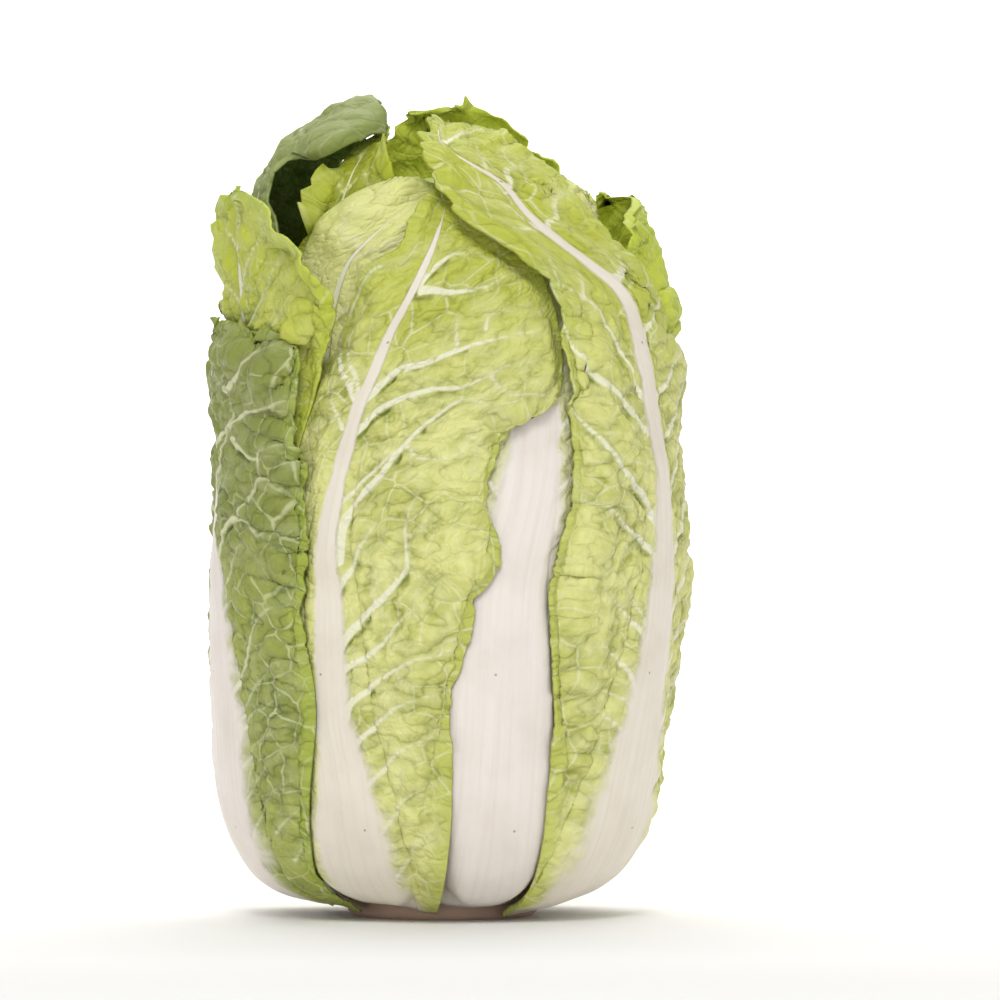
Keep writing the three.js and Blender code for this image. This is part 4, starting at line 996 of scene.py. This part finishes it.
def leafMaterial(name):
    look = leafLooks[name]
    material = bpy.data.materials.new(name)
    material.use_nodes = True
    tree = material.node_tree
    tree.nodes.clear()
    read = {}
    for field in ("flat", "ribShare", "edgeAway", "veinAway", "veinHalf", "crease", "swell", "outside"):
        node = add(tree, "ShaderNodeAttribute", {"attribute_name": field})
        read[field] = node.outputs["Vector" if field == "flat" else "Fac"]
    height = add(tree, "ShaderNodeSeparateXYZ", {}, {0: read["flat"]}).outputs["Y"]

    # Broad and small patches of the blade's green, and painted shade: the blade is darker where its relief is low, in
    # its hollows.
    broad = add(tree, "ShaderNodeTexNoise", {}, {"Vector": read["flat"], "Scale": 1 / 24, "Detail": 4})
    small = add(tree, "ShaderNodeTexNoise", {}, {"Vector": read["flat"], "Scale": 1 / 3.5, "Detail": 3})
    patch = add(tree, "ShaderNodeMath", {"operation": "MULTIPLY_ADD"},
                {0: small.outputs[0], 1: 0.5, 2: broad.outputs[0]})
    patchy = add(tree, "ShaderNodeMapRange", {"interpolation_type": "SMOOTHSTEP"},
                 {0: patch.outputs[0], 1: 0.6, 2: 0.95})
    # Painted shade: low swell, in the blade's hollows, mixes towards the dark colour.
    raised = add(tree, "ShaderNodeMapRange", {}, {0: read["swell"], 1: 0.3, 2: 2, 3: 0.75, 4: 0})
    patchesAndHollowShade = add(tree, "ShaderNodeMath", {"operation": "MULTIPLY_ADD", "use_clamp": True},
                 {0: patchy.outputs[0], 1: 0.55, 2: raised.outputs[0]})
    blade = add(tree, "ShaderNodeMix", {"data_type": "RGBA"},
                {0: patchesAndHollowShade.outputs[0], 6: linear(look["light"]), 7: linear(look["dark"])})
    low, high = (float(lengthAtHeight(z)) for z in look["upperFrom"])
    up = add(tree, "ShaderNodeMapRange", {"interpolation_type": "SMOOTHSTEP"},
             {0: height, 1: low, 2: high, 3: 0, 4: 0.75})
    blade = add(tree, "ShaderNodeMix", {"data_type": "RGBA"},
                {0: up.outputs[0], 6: blade.outputs[2], 7: linear(look["upper"])})
    rim = add(tree, "ShaderNodeMapRange", {"interpolation_type": "SMOOTHSTEP"},
              {0: read["edgeAway"], 1: 7, 2: 0, 3: 0, 4: 0.6})
    blade = add(tree, "ShaderNodeMix", {"data_type": "RGBA"},
                {0: rim.outputs[0], 6: blade.outputs[2], 7: linear(look["margin"])})
    hidden = add(tree, "ShaderNodeMapRange", {}, {0: read["outside"], 1: 0.5, 2: 0.2, 3: 0, 4: 0.9})
    blade = add(tree, "ShaderNodeMix", {"data_type": "RGBA"},
                {0: hidden.outputs[0], 6: blade.outputs[2], 7: linear(look["inside"])})

    # The veins: main ones from their own courses, fine ones in two nets.
    strong = add(tree, "ShaderNodeMapRange", {"interpolation_type": "SMOOTHSTEP"},
                 {0: read["veinHalf"], 1: 0.1, 2: 0.7, 3: 0.3, 4: 0.95})
    main = add(tree, "ShaderNodeMapRange", {"interpolation_type": "SMOOTHSTEP"},
               {0: read["veinAway"], 1: 0.45, 2: -0.3, 3: 0, 4: strong.outputs[0]})
    halo = add(tree, "ShaderNodeMapRange", {"interpolation_type": "SMOOTHSTEP"},
               {0: read["veinAway"], 1: 3.2, 2: 0, 3: 0, 4: 0.15})
    cells = fineNet(tree, read["flat"], net["cell"])
    faded = add(tree, "ShaderNodeMapRange", {}, {0: broad.outputs[0], 1: 0.35, 2: 0.65, 3: 0, 4: look["netShare"]})
    lines = add(tree, "ShaderNodeMapRange", {"interpolation_type": "SMOOTHSTEP"},
                {0: cells, 1: 0.55, 2: 0.1, 3: 0, 4: faded.outputs[0]})
    finest = fineNet(tree, read["flat"], 2.6)
    pale = add(tree, "ShaderNodeMath", {"operation": "MAXIMUM"}, {0: main.outputs[0], 1: lines.outputs[0]})
    pale = add(tree, "ShaderNodeMath", {"operation": "MAXIMUM"}, {0: pale.outputs[0], 1: halo.outputs[0]})
    shown = add(tree, "ShaderNodeMapRange", {}, {0: read["outside"], 3: 0.25})
    pale = add(tree, "ShaderNodeMath", {"operation": "MULTIPLY"}, {0: pale.outputs[0], 1: shown.outputs[0]})
    veined = add(tree, "ShaderNodeMix", {"data_type": "RGBA"},
                 {0: pale.outputs[0], 6: blade.outputs[2], 7: linear(look["vein"])})
    # Painted shade: the crease colour in the creases beside the veins and in the valleys between the blade's cushions.
    crumpled = crumple(tree, read["flat"])
    sunk = add(tree, "ShaderNodeMapRange", {"interpolation_type": "SMOOTHSTEP"},
               {0: crumpled, 1: 0.5, 2: 0.05, 3: 0, 4: faded.outputs[0]})
    sunk = add(tree, "ShaderNodeMath", {"operation": "MULTIPLY"}, {0: sunk.outputs[0], 1: 0.7})
    paintedCreaseShade = add(tree, "ShaderNodeMath", {"operation": "MAXIMUM"}, {0: read["crease"], 1: sunk.outputs[0]})
    besideVein = add(tree, "ShaderNodeMath", {"operation": "SUBTRACT"}, {0: 1, 1: main.outputs[0]})
    paintedCreaseShade = add(tree, "ShaderNodeMath", {"operation": "MULTIPLY"}, {0: paintedCreaseShade.outputs[0], 1: besideVein.outputs[0]})
    veined = add(tree, "ShaderNodeMix", {"data_type": "RGBA"},
                 {0: paintedCreaseShade.outputs[0], 6: veined.outputs[2], 7: linear(look["crease"])})

    # The midrib: white flesh with faint lengthwise lines and a few specks.
    long = add(tree, "ShaderNodeVectorMath", {"operation": "MULTIPLY"}, {0: read["flat"], 1: (0.55, 0.012, 0)})
    grain = add(tree, "ShaderNodeTexNoise", {}, {"Vector": long.outputs[0], "Scale": 1, "Detail": 4})
    shade = add(tree, "ShaderNodeMapRange", {"interpolation_type": "SMOOTHSTEP"},
                {0: grain.outputs[0], 1: 0.4, 2: 0.8, 3: 0, 4: 0.45})
    rib = add(tree, "ShaderNodeMix", {"data_type": "RGBA"},
              {0: shade.outputs[0], 6: linear(look["rib"]), 7: linear(look["ribShade"])})
    flush = add(tree, "ShaderNodeMapRange", {}, {0: broad.outputs[0], 1: 0.45, 2: 0.7, 3: 0, 4: 0.6})
    rib = add(tree, "ShaderNodeMix", {"data_type": "RGBA"},
              {0: flush.outputs[0], 6: rib.outputs[2], 7: linear(look["ribShade"])})
    dots = add(tree, "ShaderNodeTexVoronoi", {"voronoi_dimensions": "2D"},
               {"Vector": read["flat"], "Scale": 1 / 34, "Randomness": 1})
    speck = add(tree, "ShaderNodeMapRange", {"interpolation_type": "SMOOTHSTEP"},
                {0: dots.outputs["Distance"], 1: 0.014, 2: 0.007, 3: 0, 4: 0.6})
    rib = add(tree, "ShaderNodeMix", {"data_type": "RGBA"},
              {0: speck.outputs[0], 6: rib.outputs[2], 7: linear("#5d5a40")})

    # The green starts raggedly beside the midrib.
    ragged = add(tree, "ShaderNodeTexNoise", {}, {"Vector": read["flat"], "Scale": 1 / 9, "Detail": 3})
    start = add(tree, "ShaderNodeMath", {"operation": "MULTIPLY_ADD"},
                {0: ragged.outputs[0], 1: 0.7, 2: read["ribShare"]})
    green = add(tree, "ShaderNodeMapRange", {"interpolation_type": "SMOOTHSTEP"},
                {0: start.outputs[0], 1: 1.1, 2: 1.55})
    colour = add(tree, "ShaderNodeMix", {"data_type": "RGBA"},
                 {0: green.outputs[0], 6: rib.outputs[2], 7: veined.outputs[2]})

    # A fine crepe over the blade and the lines of the midrib as bump.
    crepe = add(tree, "ShaderNodeTexNoise", {}, {"Vector": read["flat"], "Scale": 0.6, "Detail": 4})
    level = add(tree, "ShaderNodeMapRange", {}, {0: finest, 1: 0, 2: 0.6})
    fine = add(tree, "ShaderNodeMath", {"operation": "MULTIPLY_ADD"},
               {0: level.outputs[0], 1: 0.4, 2: crepe.outputs[0]})
    fine = add(tree, "ShaderNodeMath", {"operation": "MULTIPLY_ADD"},
               {0: crumpled, 1: 1.2, 2: fine.outputs[0]})
    ribLines = add(tree, "ShaderNodeMath", {"operation": "MULTIPLY"}, {0: grain.outputs[0], 1: 0.4})
    surface = add(tree, "ShaderNodeMix", {"data_type": "FLOAT"},
                  {0: green.outputs[0], 2: ribLines.outputs[0], 3: fine.outputs[0]})
    bump = add(tree, "ShaderNodeBump", {}, {"Strength": 0.6, "Distance": 0.0007, "Height": surface.outputs[0]})
    gloss = add(tree, "ShaderNodeMapRange", {}, {0: green.outputs[0], 1: 0, 2: 1, 3: 0.42, 4: 0.52})
    flesh = add(tree, "ShaderNodeBsdfPrincipled", {}, {
        "Base Color": colour.outputs[2], "Roughness": gloss.outputs[0], "IOR": 1.45,
        "Specular IOR Level": 0.35, "Subsurface Weight": 0.12, "Subsurface Scale": 0.002,
        "Subsurface Radius": (1, 0.9, 0.5), "Normal": bump.outputs[0],
    })
    add(tree, "ShaderNodeOutputMaterial", {}, {"Surface": flesh.outputs[0]})
    return material


# The heart: the tight inner leaves, whose folds are steps that wind round it.
heart = {
    "sides": 180,
    "rows": 90,
    "folds": 5,
    "foldStep": 2.4,
    "crownStep": 6,
    "depth": 11.5,
    "rootDepth": 15,
    "shift": 3.5,
    "tips": 11,
    "tipTurn": 137.5,  # each leaf grows this many degrees round from the last
    "tipRoot": 200,
    "tipRise": 5,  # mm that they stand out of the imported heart
    "tipHalfWidth": 21,
    "tipRadius": 7,
    "tipSpacing": 2.9,
    "tipWidening": 0.8,
    "tipLean": 2,
    "tipRounding": 8,
    "tipFrill": 1.1,
    "tipBlade": 0.8,
    "tipRows": 14,
    "tipColumns": 64,
}

depthAlong = through([
    (0, heart["rootDepth"]), (30, heart["depth"]), (190, heart["depth"] + 1),
    (230, heart["depth"] + 3), (skinLength, heart["depth"] + 8),
])


def heartDepth(angle, s):
    return depthAlong(s) - heart["shift"] * np.sin(angle * degree) * ramp(s, 0, 60)


def heartLift(angle, s):
    turns = angle / 360 * heart["folds"] + 1.1 * s / skinLength
    step = mix(heart["foldStep"], heart["crownStep"], ramp(s, skinLength * 0.78, skinLength * 0.92))
    return -heartDepth(angle, s) - ramp(s, 10, 60) * step * (1 - turns + np.floor(turns))


stem = {
    "radius": 28,
    "chamfer": 1.6,
    "shoulder": 19,
    "cone": 62,
    "gap": 0.7,
    "sides": 128,
    "rows": 10,
}


# The stem's outline as radius and height. Above its shoulder it is a cone inside the heart.
def stemOutline(grow):
    r = stem["radius"]
    middle = mix(stem["shoulder"], stem["cone"], 0.55)
    return [
        (r + grow, stem["chamfer"]), (r - 0.6 + grow, stem["shoulder"] / 2),
        (r - 1.5 + grow, stem["shoulder"]), (r * 0.62 + grow, middle),
        (r * 0.25 + grow, stem["cone"] + grow),
    ]


# Stacks rings of points into a closed body with a point at both ends.
def closeRings(name, bottom, rings, top):
    count = len(rings[0])
    points = [bottom, *[tuple(p) for ring in rings for p in ring], top]
    last = len(points) - 1
    faces = []
    for k in range(count):
        beside = (k + 1) % count
        faces.append((0, 1 + beside, 1 + k))
        for row in range(len(rings) - 1):
            low = 1 + row * count
            faces.append((low + k, low + beside, low + count + beside, low + count + k))
        high = 1 + (len(rings) - 1) * count
        faces.append((high + k, high + beside, last))
    mesh = bpy.data.meshes.new(name)
    mesh.from_pydata([tuple(c * metre for c in p) for p in points], [], faces)
    mesh.shade_smooth()
    return mesh


def newPiece(name, mesh):
    piece = bpy.data.objects.new(name, mesh)
    bpy.context.scene.collection.objects.link(piece)
    return piece


def turned(radius, height, sides):
    angles = np.arange(sides) / sides * 2 * math.pi
    return np.stack([radius * np.sin(angles), -radius * np.cos(angles), 0 * angles + height], axis=-1)


def makeHeart():
    angles = np.arange(heart["sides"]) / heart["sides"] * 360
    rings = []
    bottom = float(place(0, 0, heartLift(0, 0))[2])
    hollow = [(stem["radius"] + stem["gap"] - 1, bottom)]
    hollow += [(r, z) for r, z in stemOutline(stem["gap"]) if z > bottom]
    for r, z in reversed(hollow):
        rings.append(turned(r, z, heart["sides"]))
    for s in np.linspace(0, skinLength, heart["rows"]):
        rings.append(place(angles, np.full_like(angles, s), heartLift(angles, s)))
    hollowTop = (0, 0, stem["cone"] + 2 + stem["gap"])
    crown = (0, 0, float(place(0, skinLength, -heartDepth(0, skinLength))[2]))
    return closeRings("heartBody", hollowTop, rings, crown)


# The tips of the innermost leaves, rolled round each other in the crown's hollow.
def makeTip(k, dome):
    share = np.linspace(-1, 1, heart["tipColumns"])[None, :]
    up = np.linspace(0, 1, heart["tipRows"])[:, None]
    radius = heart["tipRadius"] + heart["tipSpacing"] * k
    across = share * (heart["tipHalfWidth"] + heart["tipWidening"] * k)
    angle = heart["tipTurn"] * k * degree + across / (radius + heart["tipLean"])
    frill = np.sin(across / 1.3 + k) * 0.7 + np.sin(across / 0.6 + 2 * k) * 0.3
    teeth = 1.6 * notches(across, 4.5, k)
    top = np.interp(radius, *dome) + heart["tipRise"] - heart["tipRounding"] * share**2 + 1 - teeth
    z = mix(heart["tipRoot"], top, up)
    r = radius + heart["tipLean"] * up + heart["tipFrill"] * up**3 * frill
    inner = np.stack(np.broadcast_arrays(r * np.sin(angle), -r * np.cos(angle), z), axis=-1)
    r = r + heart["tipBlade"]
    outer = np.stack(np.broadcast_arrays(r * np.sin(angle), -r * np.cos(angle), z), axis=-1)
    return closeSheet("tip", inner, outer, {})


def join(name, pieces):
    bpy.ops.object.select_all(action="DESELECT")
    for piece in pieces:
        piece.select_set(True)
    bpy.context.view_layer.objects.active = pieces[0]
    bpy.ops.object.join()
    pieces[0].name = name
    pieces[0].data.name = name
    return pieces[0]


# Packed young leaves: pale yellow-green, with white veins that run up, and painted shade in dark green on the left, in
# the hollow under the hood.
def heartMaterial():
    material = bpy.data.materials.new("heartLeaves")
    material.use_nodes = True
    tree = material.node_tree
    tree.nodes.clear()
    spot = add(tree, "ShaderNodeTexCoord").outputs["Object"]
    height = add(tree, "ShaderNodeSeparateXYZ", {}, {0: spot}).outputs["Z"]
    patch = add(tree, "ShaderNodeTexNoise", {}, {"Vector": spot, "Scale": 1 / 0.012, "Detail": 4})
    up = add(tree, "ShaderNodeMapRange", {}, {0: height, 1: 0.195, 2: 0.232})
    young = add(tree, "ShaderNodeMix", {"data_type": "RGBA"},
                {0: up.outputs[0], 6: linear("#e9ebc2"), 7: linear("#c9d668")})
    spread = add(tree, "ShaderNodeMapRange", {}, {0: patch.outputs[0], 1: 0.35, 2: 0.7, 3: 0, 4: 0.6})
    young = add(tree, "ShaderNodeMix", {"data_type": "RGBA"},
                {0: spread.outputs[0], 6: young.outputs[2], 7: linear("#b5c654")})
    # Painted shade: dark green on the heart's left side, where it lies in the hollow under the hood.
    leftward = add(tree, "ShaderNodeSeparateXYZ", {}, {0: spot}).outputs["X"]
    hoodHollowShade = add(tree, "ShaderNodeMapRange", {}, {0: leftward, 1: -0.02, 2: -0.036})
    young = add(tree, "ShaderNodeMix", {"data_type": "RGBA"},
                {0: hoodHollowShade.outputs[0], 6: young.outputs[2], 7: linear("#5f7a20")})
    cells = add(tree, "ShaderNodeTexVoronoi", {"feature": "DISTANCE_TO_EDGE"}, {"Vector": spot, "Scale": 1 / 0.006})
    line = add(tree, "ShaderNodeMapRange", {}, {0: cells.outputs["Distance"], 1: 0.1, 2: 0.02, 3: 0, 4: 0.6})
    young = add(tree, "ShaderNodeMix", {"data_type": "RGBA"},
                {0: line.outputs[0], 6: young.outputs[2], 7: linear("#eef0c8")})
    bump = add(tree, "ShaderNodeBump", {}, {"Strength": 0.5, "Distance": 0.0006, "Height": cells.outputs["Distance"]})
    flesh = add(tree, "ShaderNodeBsdfPrincipled", {}, {
        "Base Color": young.outputs[2], "Roughness": 0.5, "IOR": 1.45, "Specular IOR Level": 0.35,
        "Normal": bump.outputs[0],
    })
    add(tree, "ShaderNodeOutputMaterial", {}, {"Surface": flesh.outputs[0]})
    return material


# Cut stem, sliced with a knife and dried: matt cream flesh, browned at the rim, with the cut
# strands of the veins as darker dots.
def stemMaterial():
    material = bpy.data.materials.new("cutStem")
    material.use_nodes = True
    tree = material.node_tree
    tree.nodes.clear()
    spot = add(tree, "ShaderNodeTexCoord").outputs["Object"]
    inPlane = add(tree, "ShaderNodeVectorMath", {"operation": "MULTIPLY"}, {0: spot, 1: (1, 1, 0)})
    radius = add(tree, "ShaderNodeVectorMath", {"operation": "LENGTH"}, {0: inPlane.outputs[0]}).outputs["Value"]
    dried = add(tree, "ShaderNodeTexNoise", {}, {"Vector": spot, "Scale": 1 / 0.009, "Detail": 5})
    edge = add(tree, "ShaderNodeMath", {"operation": "MULTIPLY_ADD"},
               {0: dried.outputs[0], 1: 0.012, 2: radius})
    brown = add(tree, "ShaderNodeMapRange", {"interpolation_type": "SMOOTHSTEP"},
                {0: edge.outputs[0], 1: 0.024, 2: 0.034, 3: 0.1, 4: 0.9})
    flesh = add(tree, "ShaderNodeMix", {"data_type": "RGBA"},
                {0: brown.outputs[0], 6: linear("#e2d0c2"), 7: linear("#bb9c8a")})
    strands = add(tree, "ShaderNodeTexVoronoi", {}, {"Vector": inPlane.outputs[0], "Scale": 1 / 0.0035})
    dot = add(tree, "ShaderNodeMapRange", {}, {0: strands.outputs["Distance"], 1: 0.3, 2: 0.12, 3: 0, 4: 0.5})
    flesh = add(tree, "ShaderNodeMix", {"data_type": "RGBA"},
                {0: dot.outputs[0], 6: flesh.outputs[2], 7: linear("#b79a7c")})
    bump = add(tree, "ShaderNodeBump", {}, {"Strength": 0.6, "Distance": 0.0006, "Height": dried.outputs[0]})
    face = add(tree, "ShaderNodeBsdfPrincipled", {}, {
        "Base Color": flesh.outputs[2], "Roughness": 0.8, "IOR": 1.45, "Normal": bump.outputs[0],
    })
    add(tree, "ShaderNodeOutputMaterial", {}, {"Surface": face.outputs[0]})
    return material


# The leaves
tree = reliefTree()
finishes = {name: leafMaterial(name) for name in leafLooks}
topmost = -heartDepth(gridAngles, gridLengths)
faceCount = 0
for order, leaf in enumerate(leaves):
    shape = shapes[order]
    rises, risen, sinks, sunk = leaf.get("stands", (-400, -399, 399, 400))
    turn = np.mod(gridAngles + 180, 360) - 180
    standing = ramp(turn, rises, risen) * (1 - ramp(turn, sinks, sunk))
    sheet = stretchOver(topmost, shape.hold, standing)
    inner, outer, fields = layLeaf(leaf, order, sheet, topmost)
    piece = newPiece(leaf["name"] + "_fine", closeSheet(leaf["name"], inner, outer, fields))
    wire = veinNet(leaf, shape)
    raiseRelief(piece, tree, wire, finishes[leaf["finish"]])
    bpy.data.objects.remove(wire)
    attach(piece, "root")
    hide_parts(leaf["name"])
    faceCount += 2 * len(piece.data.polygons)

    room = roomInside(shape, gridAngles, gridLengths)
    across = (np.mod(gridAngles - shape.middle(gridLengths) + 180, 360) - 180) * shape.perDegree(gridLengths)
    width = shape.width(gridLengths, np.where(across < 0, -1, 1))
    share = np.clip(np.abs(across) / width, 0, 1)
    onBlade = ramp(np.abs(across), 0, shape.ribHalf(gridLengths) + head["ribFoot"])
    stands = head["relief"] * onBlade * shape.reliefShare(gridLengths)
    waves = leaf["wave"] * (share**3 + 0.3 * np.exp(-np.maximum(room, 0) / 4)) * shape.grown(gridLengths)
    waves = waves + 2 * head["dent"] * onBlade
    for side, low, high, fold, length in leaf.get("rolls", ()):
        rolled = rollAngle(side, low, high, fold, gridLengths, leaf["seed"])
        rolled = np.clip(rolled, 0, 1.5)
        waves = waves + 0.4 * length * rolled * (room < length) * (across * side > 0)
    bare = openness(order, gridAngles, gridLengths)
    stands = bare * leaf.get("firm", 1) * (waves + stands)
    top = sheet + shape.thickness(gridLengths, np.abs(across)) + stands
    topmost = np.where(room < -1.5 * head["skinStep"], topmost, top)
    lowest = min(vertex.co.z for vertex in piece.data.vertices) / metre
    print("laid", leaf["name"], len(piece.data.polygons), "faces, lowest at", round(lowest, 2), "mm")

# The heart and the stem
heartParts = [newPiece("heart_fine", makeHeart())]
dome = sorted(
    (math.hypot(vertex.co.x, vertex.co.y) / metre, vertex.co.z / metre)
    for vertex in heartParts[0].data.vertices if vertex.co.z > 0.19
)
dome = np.array(dome).T
for k in range(heart["tips"]):
    tipMesh = makeTip(k, dome)
    tipMesh.shade_smooth()
    heartParts.append(newPiece(f"tip{k}", tipMesh))
heartPiece = join("heart_fine", heartParts)
heartPiece.data.materials.clear()
heartPiece.data.materials.append(heartMaterial())
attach(heartPiece, "root")
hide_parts("heart")
print("heart made")

stemRings = [turned(stem["radius"] - stem["chamfer"], 0, stem["sides"])]
stemRings += [turned(r, z, stem["sides"]) for r, z in curveThrough(stemOutline(0), 3)]
stemPiece = newPiece("stem_fine", closeRings("stem_fine", (0, 0, 0), stemRings, (0, 0, stem["cone"] + 2)))
stemPiece.data.materials.append(stemMaterial())
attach(stemPiece, "root")
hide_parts("stem")
print("stem made, leaves have", faceCount, "triangles")

# Floor, light and camera
studio = {
    "distance": 1.8,
    "across": 0.2945,  # metres that the picture takes in at the head's middle
    "aim": (0.0168, 0.122),  # x and height of the picture's middle
    "floorFront": -4,
    "floorBack": 2.6,  # the wall is far enough back for a camera behind the head
    "halfWidth": 5,
    "sweep": 0.8,
    "wall": 3,
}


def makeBackdrop():
    profile = [(studio["floorFront"], 0), (studio["floorBack"], 0)]
    for k in range(1, 17):
        turn = k / 16 * math.pi / 2
        y = studio["floorBack"] + studio["sweep"] * math.sin(turn)
        profile.append((y, studio["sweep"] * (1 - math.cos(turn))))
    profile.append((profile[-1][0], studio["wall"]))
    points = [(side * studio["halfWidth"], y, z) for y, z in profile for side in (-1, 1)]
    faces = [(2 * k, 2 * k + 1, 2 * k + 3, 2 * k + 2) for k in range(len(profile) - 1)]
    mesh = bpy.data.meshes.new("backdrop")
    mesh.from_pydata(points, [], faces)
    mesh.shade_smooth()
    paper = bpy.data.materials.new("whitePaper")  # seamless paper, matt
    paper.use_nodes = True
    sheet = paper.node_tree.nodes["Principled BSDF"]
    sheet.inputs["Base Color"].default_value = linear("#f4f3f1")
    sheet.inputs["Roughness"].default_value = 0.9
    mesh.materials.append(paper)
    return newPiece("backdrop", mesh)


def addLight(name, spot, aim, size, power):
    light = bpy.data.lights.new(name, "AREA")
    light.shape = "SQUARE"
    light.size = size
    light.energy = power
    lamp = newPiece(name, light)
    lamp.location = spot
    toAim = (aim[0] - spot[0], aim[1] - spot[1], aim[2] - spot[2])
    flat = math.hypot(toAim[0], toAim[1])
    lamp.rotation_euler = (math.atan2(flat, -toAim[2]), 0, math.atan2(-toAim[0], toAim[1]))


makeBackdrop()
addLight("overhead", (-0.05, -1, 1), (0, 0, 0.12), 0.45, 7.4)
addLight("front", (0.15, -1.7, 0.45), (0, 0, 0.12), 1.1, 3.7)
addLight("right", (1.2, -0.4, 0.4), (0, 0, 0.12), 0.8, 1.4)
addLight("left", (-1.2, -0.4, 0.4), (0, 0, 0.12), 0.8, 1)
addLight("back", (0, 0.5, 1.6), (0, 0, 0.12), 1.2, 8)
addLight("wall", (0, 0.9, 1.9), (0, 3.2, 0.5), 1.8, 110)
world = bpy.data.worlds.new("studio")
world.use_nodes = True
world.node_tree.nodes["Background"].inputs[0].default_value = linear("#ffffff")
world.node_tree.nodes["Background"].inputs[1].default_value = 0.36
scene = bpy.context.scene
scene.world = world
scene.view_settings.view_transform = "Standard"

camera = bpy.data.cameras.new("camera")
camera.sensor_width = 36
camera.lens = camera.sensor_width * studio["distance"] / studio["across"]
cameraPiece = newPiece("camera", camera)
cameraPiece.location = (studio["aim"][0], -studio["distance"], studio["aim"][1])
cameraPiece.rotation_euler = (math.pi / 2, 0, 0)
scene.camera = cameraPiece
print("studio set")
